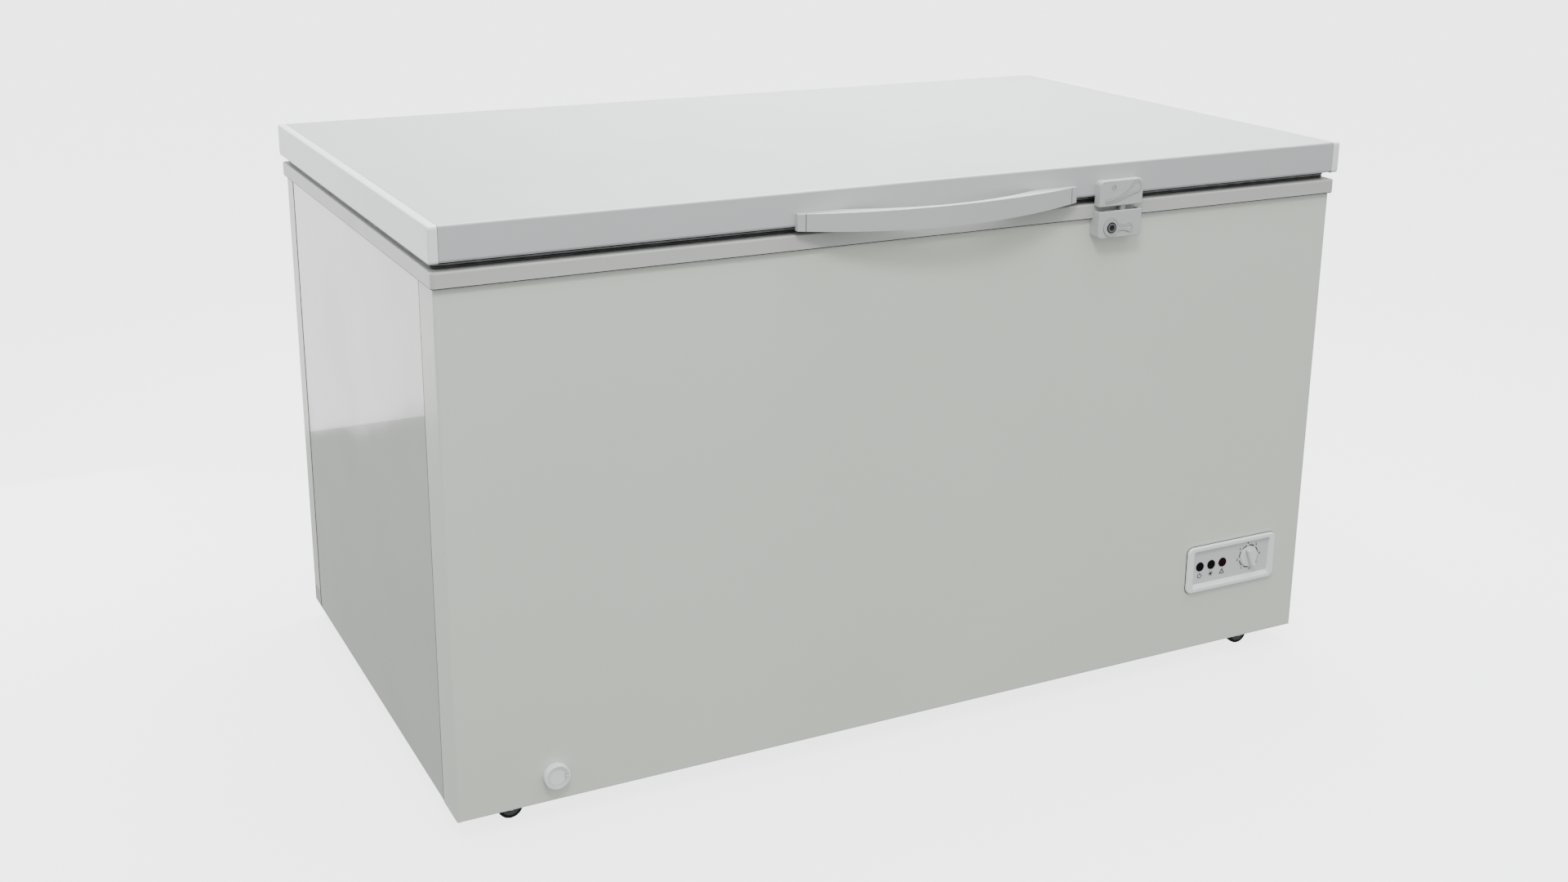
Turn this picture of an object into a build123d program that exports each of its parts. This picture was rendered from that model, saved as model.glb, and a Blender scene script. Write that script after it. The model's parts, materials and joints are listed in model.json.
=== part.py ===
"""Chest freezer with a hinged lid, bow handle, key lock, thermostat panel, drain and rollers.

Frame: +X to the right along the length, +Y to the back, +Z up. The origin is on the floor,
under the middle of the bounding box. All sizes are in millimetres.
"""
import os
from math import sqrt

from build123d import *

os.makedirs("parts", exist_ok=True)

# ---------------------------------------------------------------- driving dimensions
LID_LENGTH = 1430.0
LID_DEPTH = 825.0
HEIGHT = 835.0
LID_THICKNESS = 48.0
SEAL_GAP = 10.5             # between the lid and the rim, filled by the gasket
RIM_HEIGHT = 20.0
GROUND_GAP = 30.0
HANDLE_REACH = 42.0         # handle in front of the lid
HINGE_REACH = 13.0          # hinges behind the lid
SIDE_INSET = 6.0            # cabinet inside the lid, each end
FRONT_INSET = 9.0
BACK_INSET = 14.0
RIM_SIDE_INSET = 2.5
RIM_FRONT_INSET = 2.5
RIM_BACK_INSET = 3.0
WALL = 70.0                 # insulation of the four walls and the floor
SHEET = 0.7                 # painted steel
LINER_SHEET = 0.8
CABINET_CORNER = 4.0
EDGE_ROLL = 1.9             # rounded bottom edge of the front

# ---------------------------------------------------------------- worked-out places
HALF_LENGTH = LID_LENGTH / 2
TOTAL_DEPTH = HANDLE_REACH + LID_DEPTH + HINGE_REACH
LID_FRONT = -TOTAL_DEPTH / 2 + HANDLE_REACH
LID_BACK = LID_FRONT + LID_DEPTH
LID_BOTTOM = HEIGHT - LID_THICKNESS
RIM_TOP = LID_BOTTOM - SEAL_GAP
RIM_BOTTOM = RIM_TOP - RIM_HEIGHT
CABINET_HALF = HALF_LENGTH - SIDE_INSET
CABINET_FRONT = LID_FRONT + FRONT_INSET
CABINET_BACK = LID_BACK - BACK_INSET
CABINET_DEPTH = CABINET_BACK - CABINET_FRONT
CABINET_Y = (CABINET_FRONT + CABINET_BACK) / 2
CABINET_BOTTOM = GROUND_GAP
RIM_HALF = HALF_LENGTH - RIM_SIDE_INSET
RIM_FRONT = LID_FRONT + RIM_FRONT_INSET
RIM_BACK = LID_BACK - RIM_BACK_INSET
RIM_Y = (RIM_FRONT + RIM_BACK) / 2

# Tank, with a step over the machine compartment at the right
TANK_HALF = CABINET_HALF - WALL
TANK_FRONT = CABINET_FRONT + WALL
TANK_BACK = CABINET_BACK - WALL
TANK_DEPTH = TANK_BACK - TANK_FRONT
TANK_FLOOR = CABINET_BOTTOM + WALL
TANK_CORNER = 20.0
MACHINE_LEFT = 458.0
MACHINE_TOP = 290.0
STEP_WALL = MACHINE_LEFT - 60.0
STEP_FLOOR = MACHINE_TOP + 58.0

# Rim section
FLANGE = 3.0                # thickness of the rim's plastic
LEDGE = 12.0                # shelf inside the rim that carries the basket
LEDGE_TOP = RIM_TOP - 18.5
LIP_BOTTOM = LEDGE_TOP - 18.0

# Sheet stack at the cabinet's faces
INNER_HALF = CABINET_HALF - 2 * SHEET
INNER_FRONT = CABINET_FRONT + SHEET
INNER_BACK = CABINET_BACK - SHEET
PAN_BOTTOM = CABINET_BOTTOM + SHEET
PAN_TOP = PAN_BOTTOM + 1.2
SHELL_TOP = RIM_TOP - FLANGE - 1.0
FRONT_WRAP = 61.0
BACK_WRAP = 40.0
BACK_WRAP_BOTTOM = CABINET_BOTTOM + 30.0

# Rollers
ROLLER_RADIUS = 18.0
ROLLER_WIDTH = 16.0
ROLLER_X = 626.0
ROLLER_SETBACK = 29.0
AXLE_RADIUS = 3.0
RUNNING_GAP = 0.05          # radial, between a shaft and its hole

# Control panel
PANEL_X = 570.0
PANEL_Z = 165.5
PANEL_SIZE = (175.0, 77.0)
PANEL_WINDOW = (152.0, 62.0)
PANEL_PROUD = 5.5
PANEL_SILL = 5.0             # slope below the fascia
FASCIA_FRONT = CABINET_FRONT - 0.5
LAMP_RADIUS = 7.6
LAMP_X = {"lamp_power": 509.5, "lamp_running": 532.0, "lamp_alarm": 554.5}
LAMP_Z = 168.5
KNOB_X = 607.5
KNOB_Z = 169.5
KNOB_RADIUS = 16.5
SPINDLE_RADIUS = 3.0

# Lock and its keeper
LOCK_X = 296.5
LOCK_WIDTH = 75.0
LOCK_BOTTOM = 728.0
LOCK_TOP = 767.5
LOCK_FRONT = LID_FRONT - 13.0
LOCK_WALL = 3.0
KEY_X = 281.0
KEY_Z = 743.5
KEY_RADIUS = 8.0
KEEPER_BOTTOM = 774.5
KEEPER_TOP = 812.0
CAM_REACH = 17.0
CAM_FRONT = LOCK_FRONT + 7.0
CAM_THICKNESS = 3.0

# Drain
DRAIN_X = -572.0
DRAIN_Z = 69.0
DRAIN_Y = -250.0            # outlet in the tank's floor
DRAIN_BORE = 9.0
DRAIN_TUBE = 12.0
DIAL_RADIUS = 18.0
DIAL_FRONT = CABINET_FRONT - 11.0

# Handle
HANDLE_HALF = 222.0
HANDLE_TOP = 807.0
HANDLE_END_BOTTOM = 784.0
HANDLE_MIDDLE_BOTTOM = 778.0
HANDLE_END_PROUD = 7.0
FINGER_HALF = 155.0
BAR_THICKNESS = 8.0
COVER_HALF = 211.0
COVER_THICKNESS = 2.5

# Hinges
HINGE_X = (-430.0, 430.0)
PIVOT_Y = LID_BACK + 5.0
PIVOT_Z = 782.0
PIN_RADIUS = 3.0
KNUCKLE_RADIUS = 6.0
BRACKET_HALF = 22.0
BRACKET_PLATE = 2.0
BRACKET_BOTTOM = 640.0
BRACKET_TOP = 755.0

# Lid
END_CAP = 13.0
CAP_DROP = 2.0              # the end caps hang lower than the steel skin
CAP_SEAM = 0.8
LINER_BOTTOM = LID_BOTTOM + 0.5
LID_LINER = 1.5
PLUG_BOTTOM = 770.0
PLUG_MARGIN = 14.0
GASKET_INSET = 16.5
GASKET_WIDTH = 22.0

# Machine compartment
COMPRESSOR_X = 590.0
COMPRESSOR_Y = 240.0
COMPRESSOR_RADIUS = 72.0
COMPRESSOR_HEIGHT = 165.0
FOOT_X = 70.0
FOOT_Y = 55.0
GROMMET_HEIGHT = 14.0
BASE_PLATE = 2.0
TUBE_RADIUS = 3.0
COVER_X = 580.0
COVER_Z = 165.0
COVER_OPENING = (200.0, 190.0)
COVER_SIZE = (232.0, 222.0)
COVER_SHEET = 1.2
GLAND_X = 660.0
GLAND_Z = 90.0
GLAND_BORE = 4.0
GLAND_RADIUS = 8.0
GRILLE_Y = -150.0
GRILLE_Z = 160.0
GRILLE_SIZE = (220.0, 150.0)

# Tubes laid in the insulation
COIL_LEVELS = (400.0, 470.0, 540.0, 610.0, 680.0)
COIL_RADIUS = 4.0
CHANNEL = 10.0
RISER_START = 300.0
RISER_PITCH = 30.0
OUTLET_X = 590.0
CONDENSER_LEVELS = (130.0, 210.0, 290.0, 370.0, 450.0, 530.0, 610.0)
CONDENSER_ENDS = (-600.0, 380.0)

# Basket
BASKET_X = (322.0, 618.0)
BASKET_FLOOR = 520.0
BASKET_GAP = 11.0
WIRE = 3.0
MESH_PITCH = 42.0


# ---------------------------------------------------------------- shared shapes
def block(x, y, z, mode=Mode.ADD):
    """Box between three (low, high) pairs."""
    centre = ((x[0] + x[1]) / 2, (y[0] + y[1]) / 2, (z[0] + z[1]) / 2)
    with Locations(centre):
        Box(x[1] - x[0], y[1] - y[0], z[1] - z[0], mode=mode)


def rod(x, z, radius, y_low, y_high, mode=Mode.ADD):
    """Round bar along Y."""
    with Locations(Location((x, (y_low + y_high) / 2, z), (90, 0, 0))):
        Cylinder(radius, y_high - y_low, mode=mode)


def pillar(x, y, radius, z_low, z_high, mode=Mode.ADD):
    """Round bar along Z."""
    with Locations((x, y, (z_low + z_high) / 2)):
        Cylinder(radius, z_high - z_low, mode=mode)


def slab(centre, size, corner, z_low, z_high, mode=Mode.ADD):
    """Plate with rounded upright corners."""
    with BuildSketch(Plane.XY.offset(z_low)) as outline:
        with Locations(centre):
            RectangleRounded(size[0], size[1], corner)
    extrude(outline.sketch, amount=z_high - z_low, mode=mode)


def plate(centre, size, corner, y_front, y_back, mode=Mode.ADD):
    """Upright plate facing -Y, with rounded corners. centre is (x, z)."""
    with BuildSketch(Plane.XZ.offset(-y_front)) as outline:
        with Locations(centre):
            RectangleRounded(size[0], size[1], corner)
    extrude(outline.sketch, amount=y_front - y_back, mode=mode)


def tank(inset, mode=Mode.ADD):
    """The tank's volume, stepped at the right, with its walls moved in by inset."""
    corner = TANK_CORNER - inset
    depth = TANK_DEPTH - 2 * inset
    low = (-TANK_HALF + inset, STEP_WALL - inset)
    slab(((low[0] + low[1]) / 2, CABINET_Y), (low[1] - low[0], depth), corner,
         TANK_FLOOR + inset, LEDGE_TOP - FLANGE, mode)
    slab((0, CABINET_Y), (2 * (TANK_HALF - inset), depth), corner,
         STEP_FLOOR + inset, LEDGE_TOP - FLANGE, mode)


def cabinet_skin():
    """The painted outer skin as one closed band."""
    size = (2 * CABINET_HALF, CABINET_DEPTH)
    slab((0, CABINET_Y), size, CABINET_CORNER, CABINET_BOTTOM, SHELL_TOP)
    inner = (size[0] - 2 * SHEET, size[1] - 2 * SHEET)
    slab((0, CABINET_Y), inner, CABINET_CORNER - SHEET, CABINET_BOTTOM, SHELL_TOP, Mode.SUBTRACT)


def pan_head(x, y_face, z, length):
    """Pan-head screw seated on a face that looks to +Y."""
    rod(x, z, 4.5, y_face, y_face + 2.5)
    rod(x, z, 2.5, y_face - length, y_face)
    with Locations((x, y_face + 2.5, z)):
        Box(5.0, 1.6, 1.0, mode=Mode.SUBTRACT)
        Box(1.0, 1.6, 5.0, mode=Mode.SUBTRACT)


def roller_places():
    """The four rollers as (name, x, front face y)."""
    front = CABINET_FRONT + ROLLER_SETBACK
    back = CABINET_BACK - ROLLER_SETBACK - ROLLER_WIDTH
    return [
        ("roller_front_left", -ROLLER_X, front),
        ("roller_front_right", ROLLER_X, front),
        ("roller_back_left", -ROLLER_X, back),
        ("roller_back_right", ROLLER_X, back),
    ]


# ---------------------------------------------------------------- cabinet skin
BRACKET_SCREWS = [(x + dx, z) for x in HINGE_X for dx in (-12.0, 12.0) for z in (656.0, 736.0)]
COVER_SCREWS = [(COVER_X + dx, COVER_Z + dz) for dx in (-108.0, 108.0) for dz in (-103.0, 103.0)]

with BuildPart() as front_panel:
    cabinet_skin()
    block((-CABINET_HALF, CABINET_HALF), (CABINET_FRONT + FRONT_WRAP, CABINET_BACK),
          (CABINET_BOTTOM, SHELL_TOP), Mode.SUBTRACT)
    # Bottom edge, rolled under to a flange
    roll_x = (-CABINET_HALF + CABINET_CORNER, CABINET_HALF - CABINET_CORNER)
    block(roll_x, (CABINET_FRONT, CABINET_FRONT + EDGE_ROLL), (CABINET_BOTTOM, CABINET_BOTTOM + EDGE_ROLL),
          Mode.SUBTRACT)
    with BuildSketch(Plane.YZ.offset(roll_x[0])):
        with Locations((CABINET_FRONT + EDGE_ROLL, CABINET_BOTTOM + EDGE_ROLL)):
            Circle(EDGE_ROLL)
            Circle(EDGE_ROLL - SHEET, mode=Mode.SUBTRACT)
            Rectangle(EDGE_ROLL, EDGE_ROLL, align=(Align.MAX, Align.MAX), mode=Mode.INTERSECT)
    extrude(amount=roll_x[1] - roll_x[0])
    block(roll_x, (CABINET_FRONT + EDGE_ROLL, CABINET_FRONT + 14), (CABINET_BOTTOM, PAN_BOTTOM))
    plate((PANEL_X, PANEL_Z), (158.4, 68.4), 3.0, CABINET_FRONT - 1, INNER_FRONT + 1, Mode.SUBTRACT)
    rod(DRAIN_X, DRAIN_Z, DRAIN_BORE + 0.3, CABINET_FRONT - 1, INNER_FRONT + 1, Mode.SUBTRACT)

with BuildPart() as back_panel:
    cabinet_skin()
    block((-CABINET_HALF, CABINET_HALF), (CABINET_FRONT, CABINET_BACK - BACK_WRAP),
          (CABINET_BOTTOM, SHELL_TOP), Mode.SUBTRACT)
    block((-CABINET_HALF, CABINET_HALF), (CABINET_FRONT, CABINET_BACK),
          (CABINET_BOTTOM, PAN_BOTTOM), Mode.SUBTRACT)
    for side in (-1, 1):
        edge = sorted((side * (CABINET_HALF - SHEET), side * CABINET_HALF))
        block(edge, (CABINET_BACK - BACK_WRAP, CABINET_BACK - CABINET_CORNER),
              (CABINET_BOTTOM, BACK_WRAP_BOTTOM), Mode.SUBTRACT)
    plate((COVER_X, COVER_Z), COVER_OPENING, 4.0, INNER_BACK - 1, CABINET_BACK + 1, Mode.SUBTRACT)
    for x, z in BRACKET_SCREWS + COVER_SCREWS:
        rod(x, z, 2.5 + RUNNING_GAP, INNER_BACK - 1, CABINET_BACK + 1, Mode.SUBTRACT)


def grille(across, inset, mode=Mode.ADD):
    """Block on the right side the size of the vent grille, less an inset at each edge."""
    half_y, half_z = GRILLE_SIZE[0] / 2 - inset, GRILLE_SIZE[1] / 2 - inset
    block(across, (GRILLE_Y - half_y, GRILLE_Y + half_y), (GRILLE_Z - half_z, GRILLE_Z + half_z), mode)


side_panels = {}
for name, side in (("side_panel_left", -1), ("side_panel_right", 1)):
    with BuildPart() as side_panel:
        across = sorted((side * INNER_HALF, side * (INNER_HALF + SHEET)))
        block(across, (CABINET_FRONT + 6, CABINET_BACK - 6), (PAN_BOTTOM, SHELL_TOP))
        if side > 0:
            grille((INNER_HALF - 1, CABINET_HALF), 6.0, Mode.SUBTRACT)
    side_panels[name] = side_panel

with BuildPart() as base_pan:
    slab((0, CABINET_Y), (2 * INNER_HALF, CABINET_DEPTH - 2 * SHEET), CABINET_CORNER, PAN_BOTTOM, PAN_TOP)
    for _, x, y in roller_places():
        block((x - 27, x + 27), (y - 7, y + ROLLER_WIDTH + 11), (PAN_BOTTOM - 1, PAN_TOP + 1),
              Mode.SUBTRACT)
    block((-CABINET_HALF, CABINET_HALF), (CABINET_FRONT, CABINET_FRONT + EDGE_ROLL),
          (PAN_BOTTOM, PAN_TOP), Mode.SUBTRACT)

with BuildPart() as machine_bulkhead:
    block((MACHINE_LEFT - LINER_SHEET, MACHINE_LEFT), (INNER_FRONT, INNER_BACK),
          (PAN_TOP, MACHINE_TOP + LINER_SHEET))
    block((MACHINE_LEFT - LINER_SHEET, INNER_HALF - CABINET_CORNER), (INNER_FRONT, INNER_BACK),
          (MACHINE_TOP, MACHINE_TOP + LINER_SHEET))
    pillar(OUTLET_X, TANK_BACK + 13, COIL_RADIUS + 1, MACHINE_TOP - 1, MACHINE_TOP + 2, Mode.SUBTRACT)

# ---------------------------------------------------------------- tank, rim and insulation
with BuildPart() as inner_liner:
    tank(0.0)
    tank(LINER_SHEET, Mode.SUBTRACT)
    pillar(DRAIN_X, DRAIN_Y, DRAIN_BORE, TANK_FLOOR - 1, TANK_FLOOR + 2, Mode.SUBTRACT)

LEDGE_HALF = TANK_HALF + LEDGE
LEDGE_DEPTH = TANK_DEPTH + 2 * LEDGE
with BuildPart() as top_frame:
    # Outer skirt and top flange
    slab((0, RIM_Y), (2 * RIM_HALF, RIM_BACK - RIM_FRONT), 6.0, RIM_BOTTOM, RIM_TOP)
    fillet(top_frame.edges().group_by(Axis.Z)[-1], radius=2.5)
    slab((0, CABINET_Y), (2 * CABINET_HALF + 0.4, CABINET_DEPTH + 0.4), CABINET_CORNER,
         RIM_BOTTOM, RIM_TOP - FLANGE, Mode.SUBTRACT)
    # Shelf for the basket, with its riser, and the lip that covers the liner's edge
    slab((0, CABINET_Y), (2 * (LEDGE_HALF + FLANGE), LEDGE_DEPTH + 2 * FLANGE), TANK_CORNER + LEDGE,
         LEDGE_TOP - FLANGE, RIM_TOP)
    slab((0, CABINET_Y), (2 * LEDGE_HALF, LEDGE_DEPTH), TANK_CORNER + LEDGE - FLANGE,
         LEDGE_TOP, RIM_TOP, Mode.SUBTRACT)
    lip = 2 * (TANK_HALF - LINER_SHEET)
    lip_depth = TANK_DEPTH - 2 * LINER_SHEET
    slab((0, CABINET_Y), (lip, lip_depth), TANK_CORNER - LINER_SHEET, LIP_BOTTOM, LEDGE_TOP)
    slab((0, CABINET_Y), (lip - 2 * FLANGE, lip_depth - 2 * FLANGE),
         TANK_CORNER - LINER_SHEET - FLANGE, LIP_BOTTOM, LEDGE_TOP, Mode.SUBTRACT)

COIL_HALF = TANK_HALF + CHANNEL / 2
COIL_FRONT = TANK_FRONT - CHANNEL / 2
COIL_BACK = TANK_BACK + CHANNEL / 2
CONDENSER_Y = INNER_BACK - 4.0

with BuildPart() as cabinet_foam:
    slab((0, CABINET_Y), (2 * INNER_HALF, CABINET_DEPTH - 2 * SHEET), CABINET_CORNER,
         PAN_TOP, RIM_TOP - FLANGE)
    # Tank and rim shelf
    tank(0.0, Mode.SUBTRACT)
    slab((0, CABINET_Y), (2 * (LEDGE_HALF + FLANGE), LEDGE_DEPTH + 2 * FLANGE), TANK_CORNER + LEDGE,
         LEDGE_TOP - FLANGE, RIM_TOP, Mode.SUBTRACT)
    # Machine compartment with its bulkhead
    block((MACHINE_LEFT - LINER_SHEET, CABINET_HALF), (CABINET_FRONT, CABINET_BACK),
          (PAN_TOP, MACHINE_TOP + LINER_SHEET), Mode.SUBTRACT)
    # Roller wells
    for _, x, y in roller_places():
        if x < 0:
            block((x - 27, x + 27), (y - 7, y + ROLLER_WIDTH + 11), (PAN_TOP, 45.0), Mode.SUBTRACT)
    # Drain
    pillar(DRAIN_X, DRAIN_Y, DRAIN_TUBE, DRAIN_Z, TANK_FLOOR, Mode.SUBTRACT)
    with Locations((DRAIN_X, DRAIN_Y, DRAIN_Z)):
        Sphere(DRAIN_TUBE, mode=Mode.SUBTRACT)
    rod(DRAIN_X, DRAIN_Z, DRAIN_TUBE, CABINET_FRONT, DRAIN_Y, Mode.SUBTRACT)
    # Channels of the evaporator
    for level in COIL_LEVELS:
        slab((0, CABINET_Y), (2 * TANK_HALF + 2 * CHANNEL, TANK_DEPTH + 2 * CHANNEL),
             TANK_CORNER + CHANNEL, level - CHANNEL / 2, level + CHANNEL / 2, Mode.SUBTRACT)
    block((RISER_START - 8, OUTLET_X + 8), (TANK_BACK, TANK_BACK + CHANNEL),
          (COIL_LEVELS[0] - 5, COIL_LEVELS[-1] + 5), Mode.SUBTRACT)
    block((RISER_START - 8, RISER_START + 8), (TANK_BACK, TANK_BACK + CHANNEL),
          (STEP_FLOOR - 20, COIL_LEVELS[0]), Mode.SUBTRACT)
    block((OUTLET_X - 6, OUTLET_X + 6), (TANK_BACK, TANK_BACK + 19),
          (MACHINE_TOP, COIL_LEVELS[-1] + 6), Mode.SUBTRACT)
    # Channels of the condenser
    low, high = CONDENSER_ENDS
    for level in CONDENSER_LEVELS:
        block((low - 5, high + 5), (CONDENSER_Y - 5, CABINET_BACK), (level - 5, level + 5),
              Mode.SUBTRACT)
    for x, inward in ((low, 30), (high, -30)):
        block(sorted((x - inward / 6, x + inward)), (CONDENSER_Y - 5, CABINET_BACK),
              (CONDENSER_LEVELS[0] - 5, CONDENSER_LEVELS[-1] + 5), Mode.SUBTRACT)


def tube(points, bends, radius):
    """Round tube along straight runs joined by arcs."""
    with BuildLine() as route:
        FilletPolyline(*points, radius=bends)
    with BuildSketch(Plane(origin=route.line @ 0, z_dir=route.line % 0)) as section:
        Circle(radius)
    sweep(section.sketch, path=route.line)


COIL_CORNER = TANK_CORNER + CHANNEL / 2
RISER_BEND = 12.0
coil_points = [(RISER_START, COIL_BACK, STEP_FLOOR - 12)]
coil_bends = []
for index, level in enumerate(COIL_LEVELS):
    start = RISER_START + RISER_PITCH * index
    last = index == len(COIL_LEVELS) - 1
    coil_points += [
        (start, COIL_BACK, level),
        (-COIL_HALF, COIL_BACK, level),
        (-COIL_HALF, COIL_FRONT, level),
        (COIL_HALF, COIL_FRONT, level),
        (COIL_HALF, COIL_BACK, level),
    ]
    coil_points += [(OUTLET_X if last else start + RISER_PITCH, COIL_BACK, level)]
    coil_bends += [RISER_BEND] + 4 * [COIL_CORNER] + [RISER_BEND]
with BuildPart() as evaporator_coil:
    tube(coil_points, coil_bends[:len(coil_points) - 2], COIL_RADIUS)

with BuildPart() as suction_tube:
    tube([
        (OUTLET_X, TANK_BACK + 13, COIL_LEVELS[-1]),
        (OUTLET_X, TANK_BACK + 13, 200.0),
        (COMPRESSOR_X, COMPRESSOR_Y + COMPRESSOR_RADIUS + 4.5, 200.0),
    ], 15.0, COIL_RADIUS)

condenser_points = []
for index, level in enumerate(CONDENSER_LEVELS):
    ends = CONDENSER_ENDS if index % 2 else CONDENSER_ENDS[::-1]
    condenser_points += [(x, CONDENSER_Y, level) for x in ends]
with BuildPart() as condenser_coil:
    tube(condenser_points, 25.0, TUBE_RADIUS)

# ---------------------------------------------------------------- drain
with BuildPart() as drain_elbow:
    pillar(DRAIN_X, DRAIN_Y, DRAIN_TUBE, DRAIN_Z, TANK_FLOOR)
    with Locations((DRAIN_X, DRAIN_Y, DRAIN_Z)):
        Sphere(DRAIN_TUBE)
    rod(DRAIN_X, DRAIN_Z, DRAIN_TUBE, INNER_FRONT, DRAIN_Y)
    pillar(DRAIN_X, DRAIN_Y, DRAIN_BORE, DRAIN_Z, TANK_FLOOR, Mode.SUBTRACT)
    with Locations((DRAIN_X, DRAIN_Y, DRAIN_Z)):
        Sphere(DRAIN_BORE, mode=Mode.SUBTRACT)
    rod(DRAIN_X, DRAIN_Z, DRAIN_BORE, INNER_FRONT, DRAIN_Y, Mode.SUBTRACT)

with BuildPart() as drain_slider:
    rod(DRAIN_X, DRAIN_Z, DRAIN_BORE - 0.08, DIAL_FRONT + 4.2, CABINET_FRONT + 70)
    rod(DRAIN_X, DRAIN_Z, DRAIN_BORE - 2.5, DIAL_FRONT + 4.2, CABINET_FRONT + 71, Mode.SUBTRACT)
    block((DRAIN_X - 4, DRAIN_X + 4), (CABINET_FRONT + 8, CABINET_FRONT + 22),
          (DRAIN_Z - 10, DRAIN_Z - 4), Mode.SUBTRACT)

DIAL_BACK = CABINET_FRONT - 0.8
DIAL_RIBS = 28
with BuildPart() as drain_dial:
    rod(DRAIN_X, DRAIN_Z, DIAL_RADIUS, DIAL_FRONT, DIAL_BACK)
    fillet(drain_dial.edges().group_by(Axis.Y)[0], radius=1.5)
    # Face in two steps down from the rim, with the mark that shows the open side
    rod(DRAIN_X, DRAIN_Z, DIAL_RADIUS - 2.8, DIAL_FRONT, DIAL_FRONT + 0.8, Mode.SUBTRACT)
    rod(DRAIN_X, DRAIN_Z, DIAL_RADIUS - 5.4, DIAL_FRONT, DIAL_FRONT + 1.8, Mode.SUBTRACT)
    block((DRAIN_X + 10, DRAIN_X + DIAL_RADIUS - 2), (DIAL_FRONT + 0.2, DIAL_FRONT + 2.0),
          (DRAIN_Z - 1.0, DRAIN_Z + 1.0))
    # Socket on the slider
    rod(DRAIN_X, DRAIN_Z, DRAIN_BORE, DIAL_FRONT + 4.0, DIAL_BACK, Mode.SUBTRACT)
    # Grip flutes round the edge
    with Locations(Location((DRAIN_X, (DIAL_FRONT + 2.5 + DIAL_BACK) / 2, DRAIN_Z), (90, 0, 0))):
        with PolarLocations(DIAL_RADIUS + 0.6, DIAL_RIBS):
            Cylinder(1.1, DIAL_BACK - DIAL_FRONT - 2.5, mode=Mode.SUBTRACT)

PLUG_SEAT = TANK_FLOOR + LINER_SHEET
with BuildPart() as drain_plug:
    pillar(DRAIN_X, DRAIN_Y, DRAIN_BORE - 0.1, PLUG_SEAT - 9, PLUG_SEAT)
    pillar(DRAIN_X, DRAIN_Y, DRAIN_BORE + 5, PLUG_SEAT + 0.1, PLUG_SEAT + 3)
    pillar(DRAIN_X, DRAIN_Y, DRAIN_BORE - 0.1, PLUG_SEAT, PLUG_SEAT + 0.1)
    block((DRAIN_X - 8, DRAIN_X + 8), (DRAIN_Y - 1.5, DRAIN_Y + 1.5), (PLUG_SEAT + 3, PLUG_SEAT + 15))
    rod(DRAIN_X, PLUG_SEAT + 9, 4.0, DRAIN_Y - 2, DRAIN_Y + 2, Mode.SUBTRACT)

# ---------------------------------------------------------------- machine compartment
FOOT_TOP = PAN_TOP + BASE_PLATE + GROMMET_HEIGHT
FEET = [(COMPRESSOR_X + dx, COMPRESSOR_Y + dy) for dx in (-FOOT_X, FOOT_X) for dy in (-FOOT_Y, FOOT_Y)]

with BuildPart() as compressor_base:
    slab((COMPRESSOR_X, COMPRESSOR_Y), (220, 190), 8.0, PAN_TOP, PAN_TOP + BASE_PLATE)
    for side in (-1, 1):
        edge = sorted((COMPRESSOR_Y + side * 95, COMPRESSOR_Y + side * 93))
        block((COMPRESSOR_X - 100, COMPRESSOR_X + 100), edge, (PAN_TOP, PAN_TOP + 12))

with BuildPart() as compressor_grommets:
    for x, y in FEET:
        pillar(x, y, 12.0, PAN_TOP + BASE_PLATE, FOOT_TOP)
        pillar(x, y, 4.2, PAN_TOP + BASE_PLATE, FOOT_TOP, Mode.SUBTRACT)

with BuildPart() as compressor_bolts:
    for x, y in FEET:
        pillar(x, y, 4.0, PAN_TOP + BASE_PLATE, FOOT_TOP + 3)
        with BuildSketch(Plane.XY.offset(FOOT_TOP + 3)):
            with Locations((x, y)):
                RegularPolygon(7.5, 6)
        extrude(amount=5.3)

with BuildPart() as compressor_shell:
    slab((COMPRESSOR_X, COMPRESSOR_Y), (2 * FOOT_X + 30, 2 * FOOT_Y + 30), 14.0, FOOT_TOP, FOOT_TOP + 3)
    for x, y in FEET:
        pillar(x, y, 4.2, FOOT_TOP, FOOT_TOP + 3, Mode.SUBTRACT)
    with BuildSketch(Plane.XZ.offset(-COMPRESSOR_Y)):
        with BuildLine():
            bottom = FOOT_TOP + 2
            top = bottom + COMPRESSOR_HEIGHT
            shell_x = COMPRESSOR_X + COMPRESSOR_RADIUS
            Line((COMPRESSOR_X, bottom), (COMPRESSOR_X + 44, bottom))
            SagittaArc((COMPRESSOR_X + 44, bottom), (shell_x, bottom + 30), 9)
            Line((shell_x, bottom + 30), (shell_x, top - 48))
            SagittaArc((shell_x, top - 48), (COMPRESSOR_X + 20, top), 18)
            Line((COMPRESSOR_X + 20, top), (COMPRESSOR_X, top))
            Line((COMPRESSOR_X, top), (COMPRESSOR_X, bottom))
        make_face()
    revolve(axis=Axis((COMPRESSOR_X, COMPRESSOR_Y, 0), (0, 0, 1)))
    pillar(COMPRESSOR_X, COMPRESSOR_Y, COMPRESSOR_RADIUS + 2.5, FOOT_TOP + 88, FOOT_TOP + 92)

with BuildPart() as compressor_terminal_cover:
    edge = COMPRESSOR_X - COMPRESSOR_RADIUS - 3
    block((edge - 28, edge), (COMPRESSOR_Y - 26, COMPRESSOR_Y + 26), (FOOT_TOP + 30, FOOT_TOP + 86))
    fillet(compressor_terminal_cover.edges().filter_by(Axis.X), radius=6)

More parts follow.
